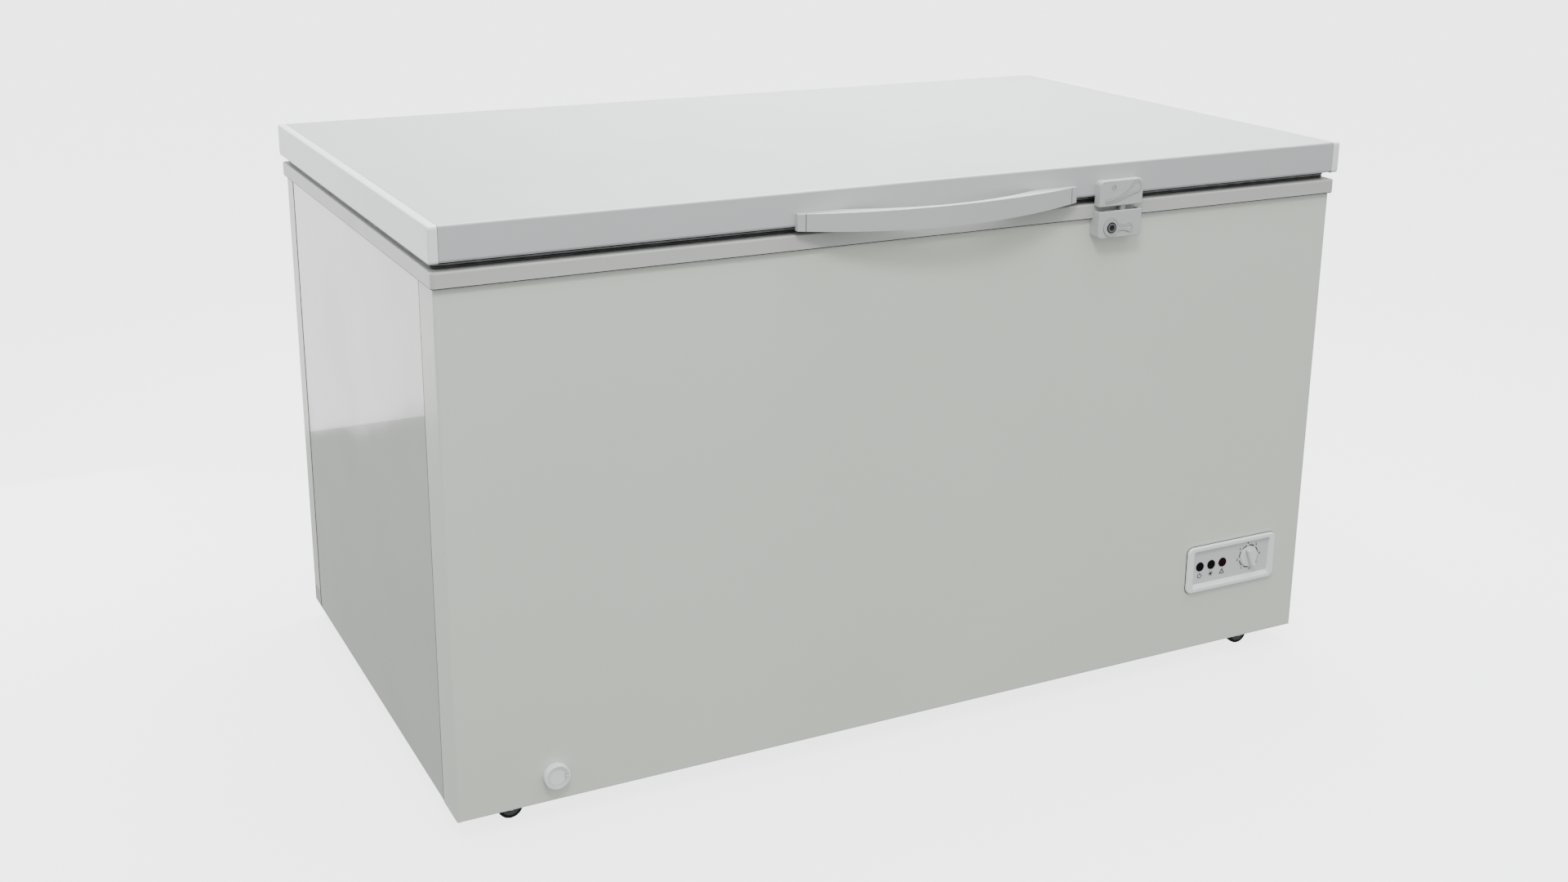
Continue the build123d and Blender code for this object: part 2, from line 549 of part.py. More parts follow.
with BuildPart() as discharge_tube:
    tube([
        (COMPRESSOR_X, COMPRESSOR_Y - COMPRESSOR_RADIUS - 4, FOOT_TOP + 70),
        (COMPRESSOR_X, 100.0, FOOT_TOP + 70),
        (COMPRESSOR_X - 70, 100.0, FOOT_TOP + 70),
        (COMPRESSOR_X - 70, 100.0, 250.0),
        (COMPRESSOR_X - 70, 0.0, 250.0),
        (MACHINE_LEFT + 0.2, 0.0, 250.0),
    ], 18.0, TUBE_RADIUS)

DRIER_X = 500.0
DRIER_Y = 60.0
with BuildPart() as filter_drier:
    tube([
        (MACHINE_LEFT + 0.2, DRIER_Y, 90.0),
        (DRIER_X, DRIER_Y, 90.0),
        (DRIER_X, DRIER_Y, 130.0),
    ], 14.0, TUBE_RADIUS)
    pillar(DRIER_X, DRIER_Y, 10.0, 125.0, 205.0)
    fillet(filter_drier.edges().filter_by(GeomType.CIRCLE).filter_by(
        lambda edge: abs(edge.radius - 10.0) < 0.01), radius=5)
    pillar(DRIER_X, DRIER_Y, 1.4, 200.0, MACHINE_TOP - 0.2)

with BuildPart() as rear_cover:
    plate((COVER_X, COVER_Z), COVER_SIZE, 6.0, CABINET_BACK, CABINET_BACK + COVER_SHEET)
    with BuildSketch(Plane.XZ.offset(-CABINET_BACK)):
        with Locations((COVER_X, COVER_Z + 18)):
            with GridLocations(0, 15, 1, 9):
                SlotOverall(170, 7)
    extrude(amount=-COVER_SHEET, mode=Mode.SUBTRACT)
    for x, z in COVER_SCREWS:
        rod(x, z, 2.5 + RUNNING_GAP, CABINET_BACK - 1, CABINET_BACK + 3, Mode.SUBTRACT)
    rod(GLAND_X, GLAND_Z, GLAND_RADIUS, CABINET_BACK - 1, CABINET_BACK + 3, Mode.SUBTRACT)

GLAND_BACK = CABINET_BACK + COVER_SHEET + 3.0
with BuildPart() as cord_gland:
    rod(GLAND_X, GLAND_Z, GLAND_RADIUS, GLAND_BACK - 14, GLAND_BACK)
    rod(GLAND_X, GLAND_Z, GLAND_RADIUS + 3.5, CABINET_BACK + COVER_SHEET, GLAND_BACK)
    fillet(cord_gland.edges().group_by(Axis.Y)[-1], radius=1.0)
    rod(GLAND_X, GLAND_Z, GLAND_BORE, GLAND_BACK - 15, GLAND_BACK + 1, Mode.SUBTRACT)

with BuildPart() as vent_grille:
    outer = INNER_HALF + SHEET
    grille((outer, outer + 1.6), 0.0)
    fillet(vent_grille.edges().filter_by(Axis.X), radius=6)
    grille((outer - 10, outer), 6.5)
    grille((outer - 11, outer), 8.5, Mode.SUBTRACT)
    with BuildSketch(Plane.YZ.offset(outer - 1)):
        with Locations((GRILLE_Y, GRILLE_Z)):
            with GridLocations(0, 14, 1, 9):
                SlotOverall(190, 7)
    extrude(amount=4, mode=Mode.SUBTRACT)

# ---------------------------------------------------------------- control panel
BEZEL_FRONT = CABINET_FRONT - PANEL_PROUD
WINDOW_EDGE = 3.0
WINDOW_BOTTOM = PANEL_Z - PANEL_WINDOW[1] / 2
with BuildPart() as control_bezel:
    plate((PANEL_X, PANEL_Z), PANEL_SIZE, 10.0, BEZEL_FRONT, CABINET_FRONT)
    fillet(control_bezel.edges().group_by(Axis.Y)[0], radius=2.6)
    plate((PANEL_X, PANEL_Z), (158.0, 68.0), 3.0, CABINET_FRONT, CABINET_FRONT + 14)
    plate((PANEL_X, PANEL_Z), PANEL_WINDOW, WINDOW_EDGE, BEZEL_FRONT - 1, FASCIA_FRONT + 1.5,
          Mode.SUBTRACT)
    plate((PANEL_X, PANEL_Z), (146.0, 56.0), WINDOW_EDGE, FASCIA_FRONT, CABINET_FRONT + 15,
          Mode.SUBTRACT)
    rim_edges = control_bezel.faces().sort_by(Axis.Y)[0].inner_wires()[0].edges()
    fillet(rim_edges, radius=1.4)
    with BuildSketch(Plane.YZ.offset(PANEL_X - PANEL_WINDOW[0] / 2 + WINDOW_EDGE)):
        with BuildLine():
            Polyline((BEZEL_FRONT + 1.4, WINDOW_BOTTOM - 0.5), (BEZEL_FRONT + 1.4, WINDOW_BOTTOM),
                     (FASCIA_FRONT, WINDOW_BOTTOM + PANEL_SILL), (FASCIA_FRONT, WINDOW_BOTTOM - 0.5),
                     close=True)
        make_face()
    extrude(amount=PANEL_WINDOW[0] - 2 * WINDOW_EDGE)

with BuildPart() as control_fascia:
    plate((PANEL_X, PANEL_Z), (PANEL_WINDOW[0] - 0.4, PANEL_WINDOW[1] - 0.4), WINDOW_EDGE,
          FASCIA_FRONT, FASCIA_FRONT + 1.5)
    for x in LAMP_X.values():
        rod(x, LAMP_Z, LAMP_RADIUS + 0.1, FASCIA_FRONT - 1, FASCIA_FRONT + 2, Mode.SUBTRACT)
    rod(KNOB_X, KNOB_Z, SPINDLE_RADIUS + 1, FASCIA_FRONT - 1, FASCIA_FRONT + 2, Mode.SUBTRACT)

lamps = {}
for name, x in LAMP_X.items():
    with BuildPart() as lamp:
        rod(x, LAMP_Z, LAMP_RADIUS, FASCIA_FRONT - 1.4, FASCIA_FRONT + 9)
        fillet(lamp.edges().group_by(Axis.Y)[0], radius=1.0)
    lamps[name] = lamp

KNOB_BACK = FASCIA_FRONT - 0.4
KNOB_FRONT = KNOB_BACK - 10.5
GRIP_ANGLE = 69.0           # the grip leans down to the right
with BuildPart() as thermostat_knob:
    rod(KNOB_X, KNOB_Z, KNOB_RADIUS, KNOB_BACK - 3, KNOB_BACK)
    fillet(thermostat_knob.edges().group_by(Axis.Y)[0], radius=1.0)
    with BuildSketch(Plane.XZ.offset(-KNOB_FRONT)):
        with Locations(Location((KNOB_X, KNOB_Z), -GRIP_ANGLE)):
            SlotOverall(2 * KNOB_RADIUS - 0.5, 7.5)
    extrude(amount=KNOB_FRONT - KNOB_BACK + 2)
    fillet(thermostat_knob.edges().group_by(Axis.Y)[0], radius=1.4)
    rod(KNOB_X, KNOB_Z, SPINDLE_RADIUS, KNOB_FRONT + 3, KNOB_BACK, Mode.SUBTRACT)

with BuildPart() as thermostat_spindle:
    rod(KNOB_X, KNOB_Z, SPINDLE_RADIUS, KNOB_FRONT + 3, FASCIA_FRONT + 22)

with BuildPart() as thermostat_body:
    block((KNOB_X - 22, KNOB_X + 22), (FASCIA_FRONT + 12, FASCIA_FRONT + 40), (KNOB_Z - 16, KNOB_Z + 16))
    rod(KNOB_X, KNOB_Z, 6.0, FASCIA_FRONT + 3, FASCIA_FRONT + 12)
    rod(KNOB_X, KNOB_Z, SPINDLE_RADIUS + RUNNING_GAP, FASCIA_FRONT + 2, FASCIA_FRONT + 23, Mode.SUBTRACT)

# ---------------------------------------------------------------- lock
LOCK_LOW = LOCK_X - LOCK_WIDTH / 2
LOCK_HIGH = LOCK_X + LOCK_WIDTH / 2
RELIEF = 1.2
RIDGE = 1.4
RELIEF_STEPS = 12


def figure(circles, shrink, y_front, y_back, mode=Mode.ADD):
    """Plate facing -Y that follows a row of circles, each given as (centre, radius)."""
    with BuildSketch(Plane.XZ.offset(-y_front)) as outline:
        for link in zip(circles, circles[1:]):
            with BuildLine() as ends:
                for centre, radius in link:
                    CenterArc(centre, radius - shrink, 0, 360)
            add(make_hull(ends.edges(), mode=Mode.PRIVATE))
    extrude(outline.sketch, amount=y_front - y_back, mode=mode)


def relief(start, start_radius, end, end_radius, waist, droop):
    """Raised figure with a ridge round its edge: a round head, a narrow neck and a smaller end."""
    circles = []
    for step in range(RELIEF_STEPS + 1):
        t = step / RELIEF_STEPS
        centre = (start[0] + (end[0] - start[0]) * t,
                  start[1] + (end[1] - start[1]) * (1 - (1 - t) ** droop))
        radius = waist + (start_radius - waist) * (1 - t) ** 5 + (end_radius - waist) * t ** 8
        circles.append((centre, radius))
    figure(circles, 0, LOCK_FRONT - RELIEF, LOCK_FRONT + 0.5)
    figure(circles, RIDGE, LOCK_FRONT - RELIEF, LOCK_FRONT - RELIEF / 2, Mode.SUBTRACT)


with BuildPart() as lock_body:
    with BuildSketch(Plane.XZ.offset(-LOCK_FRONT)) as lock_face:
        with Locations((LOCK_X, (LOCK_BOTTOM + LOCK_TOP) / 2)):
            Rectangle(LOCK_WIDTH, LOCK_TOP - LOCK_BOTTOM)
        fillet(lock_face.vertices().group_by(Axis.Y)[0], radius=6)
        fillet(lock_face.vertices().group_by(Axis.Y)[-1], radius=1.5)
    extrude(amount=LOCK_FRONT - CABINET_FRONT)
    fillet(lock_body.edges().group_by(Axis.Y)[0], radius=1.5)
    relief((KEY_X, KEY_Z), 13.2, (KEY_X + 32, KEY_Z - 2.5), 6.0, 3.4, 1)
    # Clearance for the rim, and the hollow for the cam and hook
    block((LOCK_LOW - 1, LOCK_HIGH + 1), (RIM_FRONT - 0.2, CABINET_FRONT + 1),
          (RIM_BOTTOM - 0.2, LOCK_TOP + 1), Mode.SUBTRACT)
    block((LOCK_LOW + LOCK_WALL, LOCK_HIGH - LOCK_WALL), (LOCK_FRONT + LOCK_WALL, RIM_FRONT - LOCK_WALL),
          (LOCK_BOTTOM + LOCK_WALL, LOCK_TOP + 1), Mode.SUBTRACT)
    rod(KEY_X, KEY_Z, KEY_RADIUS + RUNNING_GAP, LOCK_FRONT - 3, LOCK_FRONT + LOCK_WALL + 1, Mode.SUBTRACT)

with BuildPart() as lock_cylinder:
    rod(KEY_X, KEY_Z, KEY_RADIUS, LOCK_FRONT - 2, CAM_FRONT)
    fillet(lock_cylinder.edges().group_by(Axis.Y)[0], radius=0.8)
    rod(KEY_X, KEY_Z, 4.0, CAM_FRONT, CAM_FRONT + CAM_THICKNESS + 1.5)
    block((KEY_X - 0.8, KEY_X + 0.8), (LOCK_FRONT - 3, LOCK_FRONT + 3), (KEY_Z - 4, KEY_Z + 4), Mode.SUBTRACT)

with BuildPart() as lock_cam:
    with BuildSketch(Plane.XZ.offset(-CAM_FRONT)):
        with Locations((KEY_X, KEY_Z)):
            Circle(7.0)
        with Locations((KEY_X, KEY_Z + CAM_REACH / 2)):
            Rectangle(8.0, CAM_REACH)
        with Locations((KEY_X, KEY_Z)):
            Circle(4.0, mode=Mode.SUBTRACT)
    extrude(amount=-CAM_THICKNESS)

with BuildPart() as lock_keeper:
    with BuildSketch(Plane.XZ.offset(-LOCK_FRONT)) as keeper_face:
        with Locations((LOCK_X, (KEEPER_BOTTOM + KEEPER_TOP) / 2)):
            Rectangle(LOCK_WIDTH, KEEPER_TOP - KEEPER_BOTTOM)
        fillet(keeper_face.vertices().group_by(Axis.Y)[-1], radius=7)
        fillet(keeper_face.vertices().group_by(Axis.Y)[0], radius=1.5)
    extrude(amount=LOCK_FRONT - LID_FRONT)
    fillet(lock_keeper.edges().group_by(Axis.Y)[0], radius=1.5)
    relief((LOCK_HIGH - 11.5, KEEPER_TOP - 11.5), 8.2, (LOCK_LOW + 12, KEEPER_BOTTOM + 7.5), 2.3, 2.3, 2)
    rod(LOCK_LOW + 24, KEEPER_TOP - 10, 3.6, LOCK_FRONT - RELIEF / 2, LOCK_FRONT + 0.5)
    rod(LOCK_LOW + 24, KEEPER_TOP - 10, 2.4, LOCK_FRONT - RELIEF, LOCK_FRONT + 0.2, Mode.SUBTRACT)
    # Hook that reaches down behind the cam
    hook_y = (CAM_FRONT - 1.5, CAM_FRONT + CAM_THICKNESS + 1.5)
    block((KEY_X + 19, KEY_X + 27), hook_y, (KEY_Z - 10, KEEPER_BOTTOM + 1))
    block((KEY_X + 8, KEY_X + 19), hook_y, (KEY_Z - 10, KEY_Z - 5))

# ---------------------------------------------------------------- hinges
with BuildPart() as hinge_brackets:
    for x in HINGE_X:
        block((x - BRACKET_HALF, x + BRACKET_HALF), (CABINET_BACK, CABINET_BACK + BRACKET_PLATE),
              (BRACKET_BOTTOM, BRACKET_TOP))
        for cheek in (x - BRACKET_HALF, x + BRACKET_HALF - BRACKET_PLATE):
            with BuildSketch(Plane.YZ.offset(cheek)):
                with BuildLine():
                    Polyline(
                        (CABINET_BACK, BRACKET_BOTTOM), (CABINET_BACK + 11, BRACKET_BOTTOM),
                        (PIVOT_Y + 8, BRACKET_BOTTOM + 50), (PIVOT_Y + 8, PIVOT_Z),
                        (RIM_BACK + 0.5, PIVOT_Z), (RIM_BACK + 0.5, BRACKET_TOP),
                        (CABINET_BACK, BRACKET_TOP), close=True)
                make_face()
                with Locations((PIVOT_Y, PIVOT_Z)):
                    Circle(7.5)
                    Circle(PIN_RADIUS, mode=Mode.SUBTRACT)
            extrude(amount=BRACKET_PLATE)
    for x, z in BRACKET_SCREWS:
        rod(x, z, 2.5 + RUNNING_GAP, CABINET_BACK - 1, CABINET_BACK + 3, Mode.SUBTRACT)


def cross_pin(x_low, x_high, radius, mode=Mode.ADD):
    """Round bar along X on the lid's pivot line."""
    with Locations(Location(((x_low + x_high) / 2, PIVOT_Y, PIVOT_Z), (0, 90, 0))):
        Cylinder(radius, x_high - x_low, mode=mode)


with BuildPart() as hinge_pins:
    for x in HINGE_X:
        cross_pin(x - BRACKET_HALF - 1.5, x + BRACKET_HALF, PIN_RADIUS)
        cross_pin(x + BRACKET_HALF, x + BRACKET_HALF + 2, 5.0)

ARM_SCREWS = [(x + dx, z) for x in HINGE_X for dx in (-10.0, 10.0) for z in (802.0, 820.0)]
ARM_PLATE = 2.5
with BuildPart() as hinge_arms:
    for x in HINGE_X:
        cross_pin(x - 17, x + 5, KNUCKLE_RADIUS)
        block((x - 17, x + 5), (LID_BACK, LID_BACK + ARM_PLATE), (PIVOT_Z, 795.0))
        block((x - 17, x + 17), (LID_BACK, LID_BACK + ARM_PLATE), (793.0, 829.0))
        cross_pin(x - 18, x + 6, PIN_RADIUS + RUNNING_GAP, Mode.SUBTRACT)
    for x, z in ARM_SCREWS:
        rod(x, z, 2.5 + RUNNING_GAP, LID_BACK - 1, LID_BACK + 4, Mode.SUBTRACT)

SPRING_WIRE = 1.1
SPRING_RADIUS = 4.9
SPRING_PITCH = 2.4
SPRING_TURNS = 4.25         # a quarter turn over, so that the leg points down
SPRING_LEG = 24.0
with BuildPart() as hinge_springs:
    for x in HINGE_X:
        with BuildLine() as wire:
            coil = Helix(pitch=SPRING_PITCH, height=SPRING_PITCH * SPRING_TURNS, radius=SPRING_RADIUS,
                         center=(x + 6.6, PIVOT_Y, PIVOT_Z), direction=(1, 0, 0))
            Line(coil @ 1, coil @ 1 + (coil % 1) * SPRING_LEG)
        with BuildSketch(Plane(origin=coil @ 0, z_dir=coil % 0)):
            Circle(SPRING_WIRE)
        sweep(path=wire.wires()[0])

with BuildPart() as cabinet_screws:
    for x, z in BRACKET_SCREWS:
        pan_head(x, CABINET_BACK + BRACKET_PLATE, z, BRACKET_PLATE + SHEET)
    for x, z in COVER_SCREWS:
        pan_head(x, CABINET_BACK + COVER_SHEET, z, COVER_SHEET + SHEET)

# ---------------------------------------------------------------- rollers
with BuildPart() as roller_brackets:
    for _, x, y in roller_places():
        # Flange under the base, box in the well, and the cheek that holds the axle
        well = (y - 6, y + ROLLER_WIDTH + 10)
        block((x - 34, x + 34), (y - 12, y + ROLLER_WIDTH + 16), (PAN_BOTTOM - 1.2, PAN_BOTTOM))
        block((x - 26, x + 26), well, (PAN_BOTTOM - 1.2, 44.0))
        block((x - 24.5, x + 24.5), (well[0] + 1.5, well[1] - 1.5), (PAN_BOTTOM - 2, 42.5), Mode.SUBTRACT)
        cheek_y = (y + ROLLER_WIDTH + 3, y + ROLLER_WIDTH + 6)
        block((x - 12, x + 12), cheek_y, (ROLLER_RADIUS, 43.0))
        rod(x, ROLLER_RADIUS, 12.0, *cheek_y)
        rod(x, ROLLER_RADIUS, AXLE_RADIUS, y, y + 30, Mode.SUBTRACT)

with BuildPart() as roller_axles:
    for _, x, y in roller_places():
        rod(x, ROLLER_RADIUS, AXLE_RADIUS, y - 0.3, y + ROLLER_WIDTH + 7)
        rod(x, ROLLER_RADIUS, 4.5, y - 2.3, y - 0.3)
        rod(x, ROLLER_RADIUS, 4.5, y + ROLLER_WIDTH + 0.3, y + ROLLER_WIDTH + 3)

rollers = {}
for name, x, y in roller_places():
    with BuildPart() as roller:
        rod(x, ROLLER_RADIUS, ROLLER_RADIUS, y, y + ROLLER_WIDTH)
        fillet(roller.edges(), radius=2.0)
        with BuildSketch(Plane.XZ.offset(-y)):
            with Locations((x, ROLLER_RADIUS)):
                Circle(13.0)
                Circle(7.0, mode=Mode.SUBTRACT)
        extrude(amount=-2.0, mode=Mode.SUBTRACT)
        rod(x, ROLLER_RADIUS, AXLE_RADIUS + RUNNING_GAP, y - 1, y + ROLLER_WIDTH + 1, Mode.SUBTRACT)
    rollers[name] = roller

# ---------------------------------------------------------------- basket
BASKET_FRONT = TANK_FRONT + BASKET_GAP
BASKET_BACK = TANK_BACK - BASKET_GAP
BASKET_TOP = LEDGE_TOP + 0.3
RAIL = 5.0
basket_x = (BASKET_X[0] + BASKET_X[1]) / 2
basket_y = (BASKET_FRONT + BASKET_BACK) / 2
basket_length = BASKET_X[1] - BASKET_X[0]
basket_depth = BASKET_BACK - BASKET_FRONT
with BuildPart() as basket:
    slab((basket_x, basket_y), (basket_length, basket_depth), 12.0, BASKET_FLOOR, BASKET_TOP + RAIL)
    slab((basket_x, basket_y), (basket_length - 2 * WIRE, basket_depth - 2 * WIRE), 12.0 - WIRE,
         BASKET_FLOOR + WIRE, BASKET_TOP + RAIL, Mode.SUBTRACT)
    # Mesh openings: floor, long walls, short walls
    rows_x = int((basket_length - 24) // MESH_PITCH)
    rows_y = int((basket_depth - 24) // MESH_PITCH)
    rows_z = int((BASKET_TOP - BASKET_FLOOR - 12) // MESH_PITCH)
    hole = MESH_PITCH - WIRE
    mid_z = BASKET_FLOOR + WIRE + rows_z * MESH_PITCH / 2
    with BuildSketch(Plane.XY.offset(BASKET_FLOOR)):
        with Locations((basket_x, basket_y)):
            with GridLocations(MESH_PITCH, MESH_PITCH, rows_x, rows_y):
                Rectangle(hole, hole)
    extrude(amount=WIRE, mode=Mode.SUBTRACT)
    with BuildSketch(Plane.XZ.offset(-BASKET_BACK)):
        with Locations((basket_x, mid_z)):
            with GridLocations(MESH_PITCH, MESH_PITCH, rows_x, rows_z):
                Rectangle(hole, hole)
    extrude(amount=basket_depth, mode=Mode.SUBTRACT)
    with BuildSketch(Plane.YZ.offset(BASKET_X[0])):
        with Locations((basket_y, mid_z)):
            with GridLocations(MESH_PITCH, MESH_PITCH, rows_y, rows_z):
                Rectangle(hole, hole)
    extrude(amount=basket_length, mode=Mode.SUBTRACT)
    # Rails that rest on the rim's shelf
    for y in (TANK_FRONT - LEDGE + 3, TANK_BACK + LEDGE - 3 - RAIL):
        block(BASKET_X, (y, y + RAIL), (BASKET_TOP, BASKET_TOP + RAIL))
    for x in (BASKET_X[0], basket_x - RAIL / 2, BASKET_X[1] - RAIL):
        block((x, x + RAIL), (TANK_FRONT - LEDGE + 3, BASKET_FRONT + WIRE), (BASKET_TOP, BASKET_TOP + RAIL))
        block((x, x + RAIL), (BASKET_BACK - WIRE, TANK_BACK + LEDGE - 3), (BASKET_TOP, BASKET_TOP + RAIL))

# ---------------------------------------------------------------- lid
SKIN_HALF = HALF_LENGTH - END_CAP
SKIN_BOTTOM = LID_BOTTOM + CAP_DROP
LID_Y = (LID_FRONT + LID_BACK) / 2
SKIN_EDGE = 3.0


def lid_section(low, high, inset, edge, mode=Mode.ADD):
    """Bar of the lid's rounded section between two x values, moved in by inset."""
    with BuildSketch(Plane.YZ.offset(low)) as section:
        with Locations((LID_Y, (SKIN_BOTTOM + HEIGHT) / 2)):
            RectangleRounded(LID_DEPTH - 2 * inset, HEIGHT - SKIN_BOTTOM - 2 * inset, edge)
    extrude(section.sketch, amount=high - low, mode=mode)


RETURN = 26.0               # bottom flange of the skin
with BuildPart() as lid_skin:
    lid_section(-SKIN_HALF, SKIN_HALF, 0.0, SKIN_EDGE)
    lid_section(-SKIN_HALF, SKIN_HALF, SHEET, SKIN_EDGE - SHEET, Mode.SUBTRACT)
    block((-SKIN_HALF, SKIN_HALF), (LID_FRONT + RETURN, LID_BACK - RETURN),
          (SKIN_BOTTOM - 1, SKIN_BOTTOM + SHEET), Mode.SUBTRACT)
    for x, z in ARM_SCREWS:
        rod(x, z, 2.5 + RUNNING_GAP, LID_BACK - SHEET - 1, LID_BACK + 1, Mode.SUBTRACT)

lid_caps = {}
for name, side in (("lid_end_cap_left", -1), ("lid_end_cap_right", 1)):
    with BuildPart() as lid_cap:
        with BuildSketch(Plane.YZ.offset(side * SKIN_HALF)):
            with Locations((LID_Y, (LID_BOTTOM + HEIGHT) / 2)):
                RectangleRounded(LID_DEPTH, LID_THICKNESS, 4.5)
        extrude(amount=side * END_CAP)
        outer_face = lid_cap.faces().sort_by(Axis.X)[-1 if side > 0 else 0]
        fillet(outer_face.edges(), radius=2.2)
        seam_face = lid_cap.faces().sort_by(Axis.X)[0 if side > 0 else -1]
        chamfer(seam_face.edges(), length=CAP_SEAM)
        with BuildSketch(Plane.YZ.offset(side * SKIN_HALF)):
            with Locations((LID_Y, (LID_BOTTOM + HEIGHT) / 2)):
                RectangleRounded(LID_DEPTH - 5, LID_THICKNESS - 5, 2.0)
        extrude(amount=side * (END_CAP - 2.5), mode=Mode.SUBTRACT)
    lid_caps[name] = lid_cap

PLUG_SIZE = (2 * (TANK_HALF - PLUG_MARGIN), TANK_DEPTH - 2 * PLUG_MARGIN)
PLUG_HOLLOW = (PLUG_SIZE[0] - 2 * LID_LINER, PLUG_SIZE[1] - 2 * LID_LINER)
with BuildPart() as lid_liner:
    block((-SKIN_HALF, SKIN_HALF), (LID_FRONT + 6, LID_BACK - 6), (LINER_BOTTOM, SKIN_BOTTOM))
    slab((0, CABINET_Y), PLUG_SIZE, 24.0, PLUG_BOTTOM, LINER_BOTTOM)
    fillet(lid_liner.edges().group_by(Axis.Z)[0], radius=2.5)
    slab((0, CABINET_Y), PLUG_HOLLOW, 24.0 - LID_LINER, PLUG_BOTTOM + LID_LINER, SKIN_BOTTOM,
         Mode.SUBTRACT)

with BuildPart() as lid_foam:
    lid_section(-SKIN_HALF, SKIN_HALF, SHEET, SKIN_EDGE - SHEET)
    block((-SKIN_HALF, SKIN_HALF), (LID_FRONT + RETURN, LID_BACK - RETURN),
          (SKIN_BOTTOM, SKIN_BOTTOM + SHEET))
    slab((0, CABINET_Y), PLUG_HOLLOW, 24.0 - LID_LINER, PLUG_BOTTOM + LID_LINER, SKIN_BOTTOM)

GASKET_BOTTOM = RIM_TOP + 0.3
GASKET_LAYER = (LINER_BOTTOM - GASKET_BOTTOM) / 5


def gasket_ring(layer, pinch):
    """One layer of the bellows, pinched in from both faces."""
    low = GASKET_BOTTOM + layer * GASKET_LAYER
    inset = 2 * (GASKET_INSET + pinch)
    outer = (2 * RIM_HALF - inset, RIM_BACK - RIM_FRONT - inset)
    width = 2 * (GASKET_WIDTH - 2 * pinch)
    slab((0, RIM_Y), outer, 10.0, low, low + GASKET_LAYER)
    slab((0, RIM_Y), (outer[0] - width, outer[1] - width), 4.0, low, low + GASKET_LAYER, Mode.SUBTRACT)


with BuildPart() as lid_gasket:
    for layer, pinch in enumerate((0.0, 2.0, 0.0, 2.0, 0.0)):
        gasket_ring(layer, pinch)


# ---------------------------------------------------------------- handle
def bow(half, y_ends, y_middle):
    """Arc of the handle in plan, from -half to half."""
    return ThreePointArc((-half, y_ends), (0, y_middle), (half, y_ends))


BOW_ENDS = LID_FRONT - HANDLE_END_PROUD
BOW_FRONT = LID_FRONT - HANDLE_REACH
SAGITTA = BOW_ENDS - BOW_FRONT
BOW_RADIUS = (HANDLE_HALF ** 2 + SAGITTA ** 2) / (2 * SAGITTA)


def bow_depth(x, radius):
    """How far a bow of this radius has fallen back at x."""
    return radius - sqrt(radius ** 2 - x ** 2)


def trim_underside():
    """Cuts the underside to its long arc, lowest in the middle."""
    with BuildSketch(Plane.XZ.offset(-BOW_FRONT + 5)) as below:
        with BuildLine() as outline:
            ThreePointArc((-HANDLE_HALF - 1, HANDLE_END_BOTTOM), (0, HANDLE_MIDDLE_BOTTOM),
                          (HANDLE_HALF + 1, HANDLE_END_BOTTOM))
            Polyline((HANDLE_HALF + 1, HANDLE_END_BOTTOM), (HANDLE_HALF + 1, HANDLE_MIDDLE_BOTTOM - 9),
                     (-HANDLE_HALF - 1, HANDLE_MIDDLE_BOTTOM - 9), (-HANDLE_HALF - 1, HANDLE_END_BOTTOM))
        make_face(outline.edges())
    extrude(below.sketch, amount=-HANDLE_REACH - 10, mode=Mode.SUBTRACT)


def cover_outline():
    """Plan of the strip let into the front of the bow."""
    outer_y = BOW_FRONT + bow_depth(COVER_HALF, BOW_RADIUS)
    inner_y = BOW_FRONT + COVER_THICKNESS + bow_depth(COVER_HALF, BOW_RADIUS - COVER_THICKNESS)
    with BuildLine() as outline:
        bow(COVER_HALF, outer_y, BOW_FRONT)
        Line((COVER_HALF, outer_y), (COVER_HALF, inner_y))
        bow(COVER_HALF, inner_y, BOW_FRONT + COVER_THICKNESS)
        Line((-COVER_HALF, inner_y), (-COVER_HALF, outer_y))
    make_face(outline.edges())


with BuildPart() as handle_body:
    with BuildSketch(Plane.XY.offset(HANDLE_MIDDLE_BOTTOM - 2)):
        with BuildLine():
            bow(HANDLE_HALF, BOW_ENDS, BOW_FRONT)
            Line((HANDLE_HALF, BOW_ENDS), (HANDLE_HALF, LID_FRONT))
            Line((HANDLE_HALF, LID_FRONT), (FINGER_HALF, LID_FRONT))
            bow(FINGER_HALF, LID_FRONT, BOW_FRONT + BAR_THICKNESS)
            Line((-FINGER_HALF, LID_FRONT), (-HANDLE_HALF, LID_FRONT))
            Line((-HANDLE_HALF, LID_FRONT), (-HANDLE_HALF, BOW_ENDS))
        make_face()
    extrude(amount=HANDLE_TOP - HANDLE_MIDDLE_BOTTOM + 2)
    trim_underside()
    with BuildSketch(Plane.XY.offset(HANDLE_MIDDLE_BOTTOM - 2)):
        cover_outline()
    extrude(amount=HANDLE_TOP - HANDLE_MIDDLE_BOTTOM + 4, mode=Mode.SUBTRACT)
    fillet(handle_body.edges().group_by(Axis.Z)[-1], radius=1.0)

with BuildPart() as handle_cover:
    with BuildSketch(Plane.XY.offset(HANDLE_MIDDLE_BOTTOM - 2)):
        cover_outline()
    extrude(amount=HANDLE_TOP - HANDLE_MIDDLE_BOTTOM + 2)
    trim_underside()
    fillet(handle_cover.edges().group_by(Axis.Z)[-1].sort_by(Axis.Y)[0], radius=0.8)

with BuildPart() as lid_screws:
    for x, z in ARM_SCREWS:
        pan_head(x, LID_BACK + ARM_PLATE, z, ARM_PLATE + SHEET)

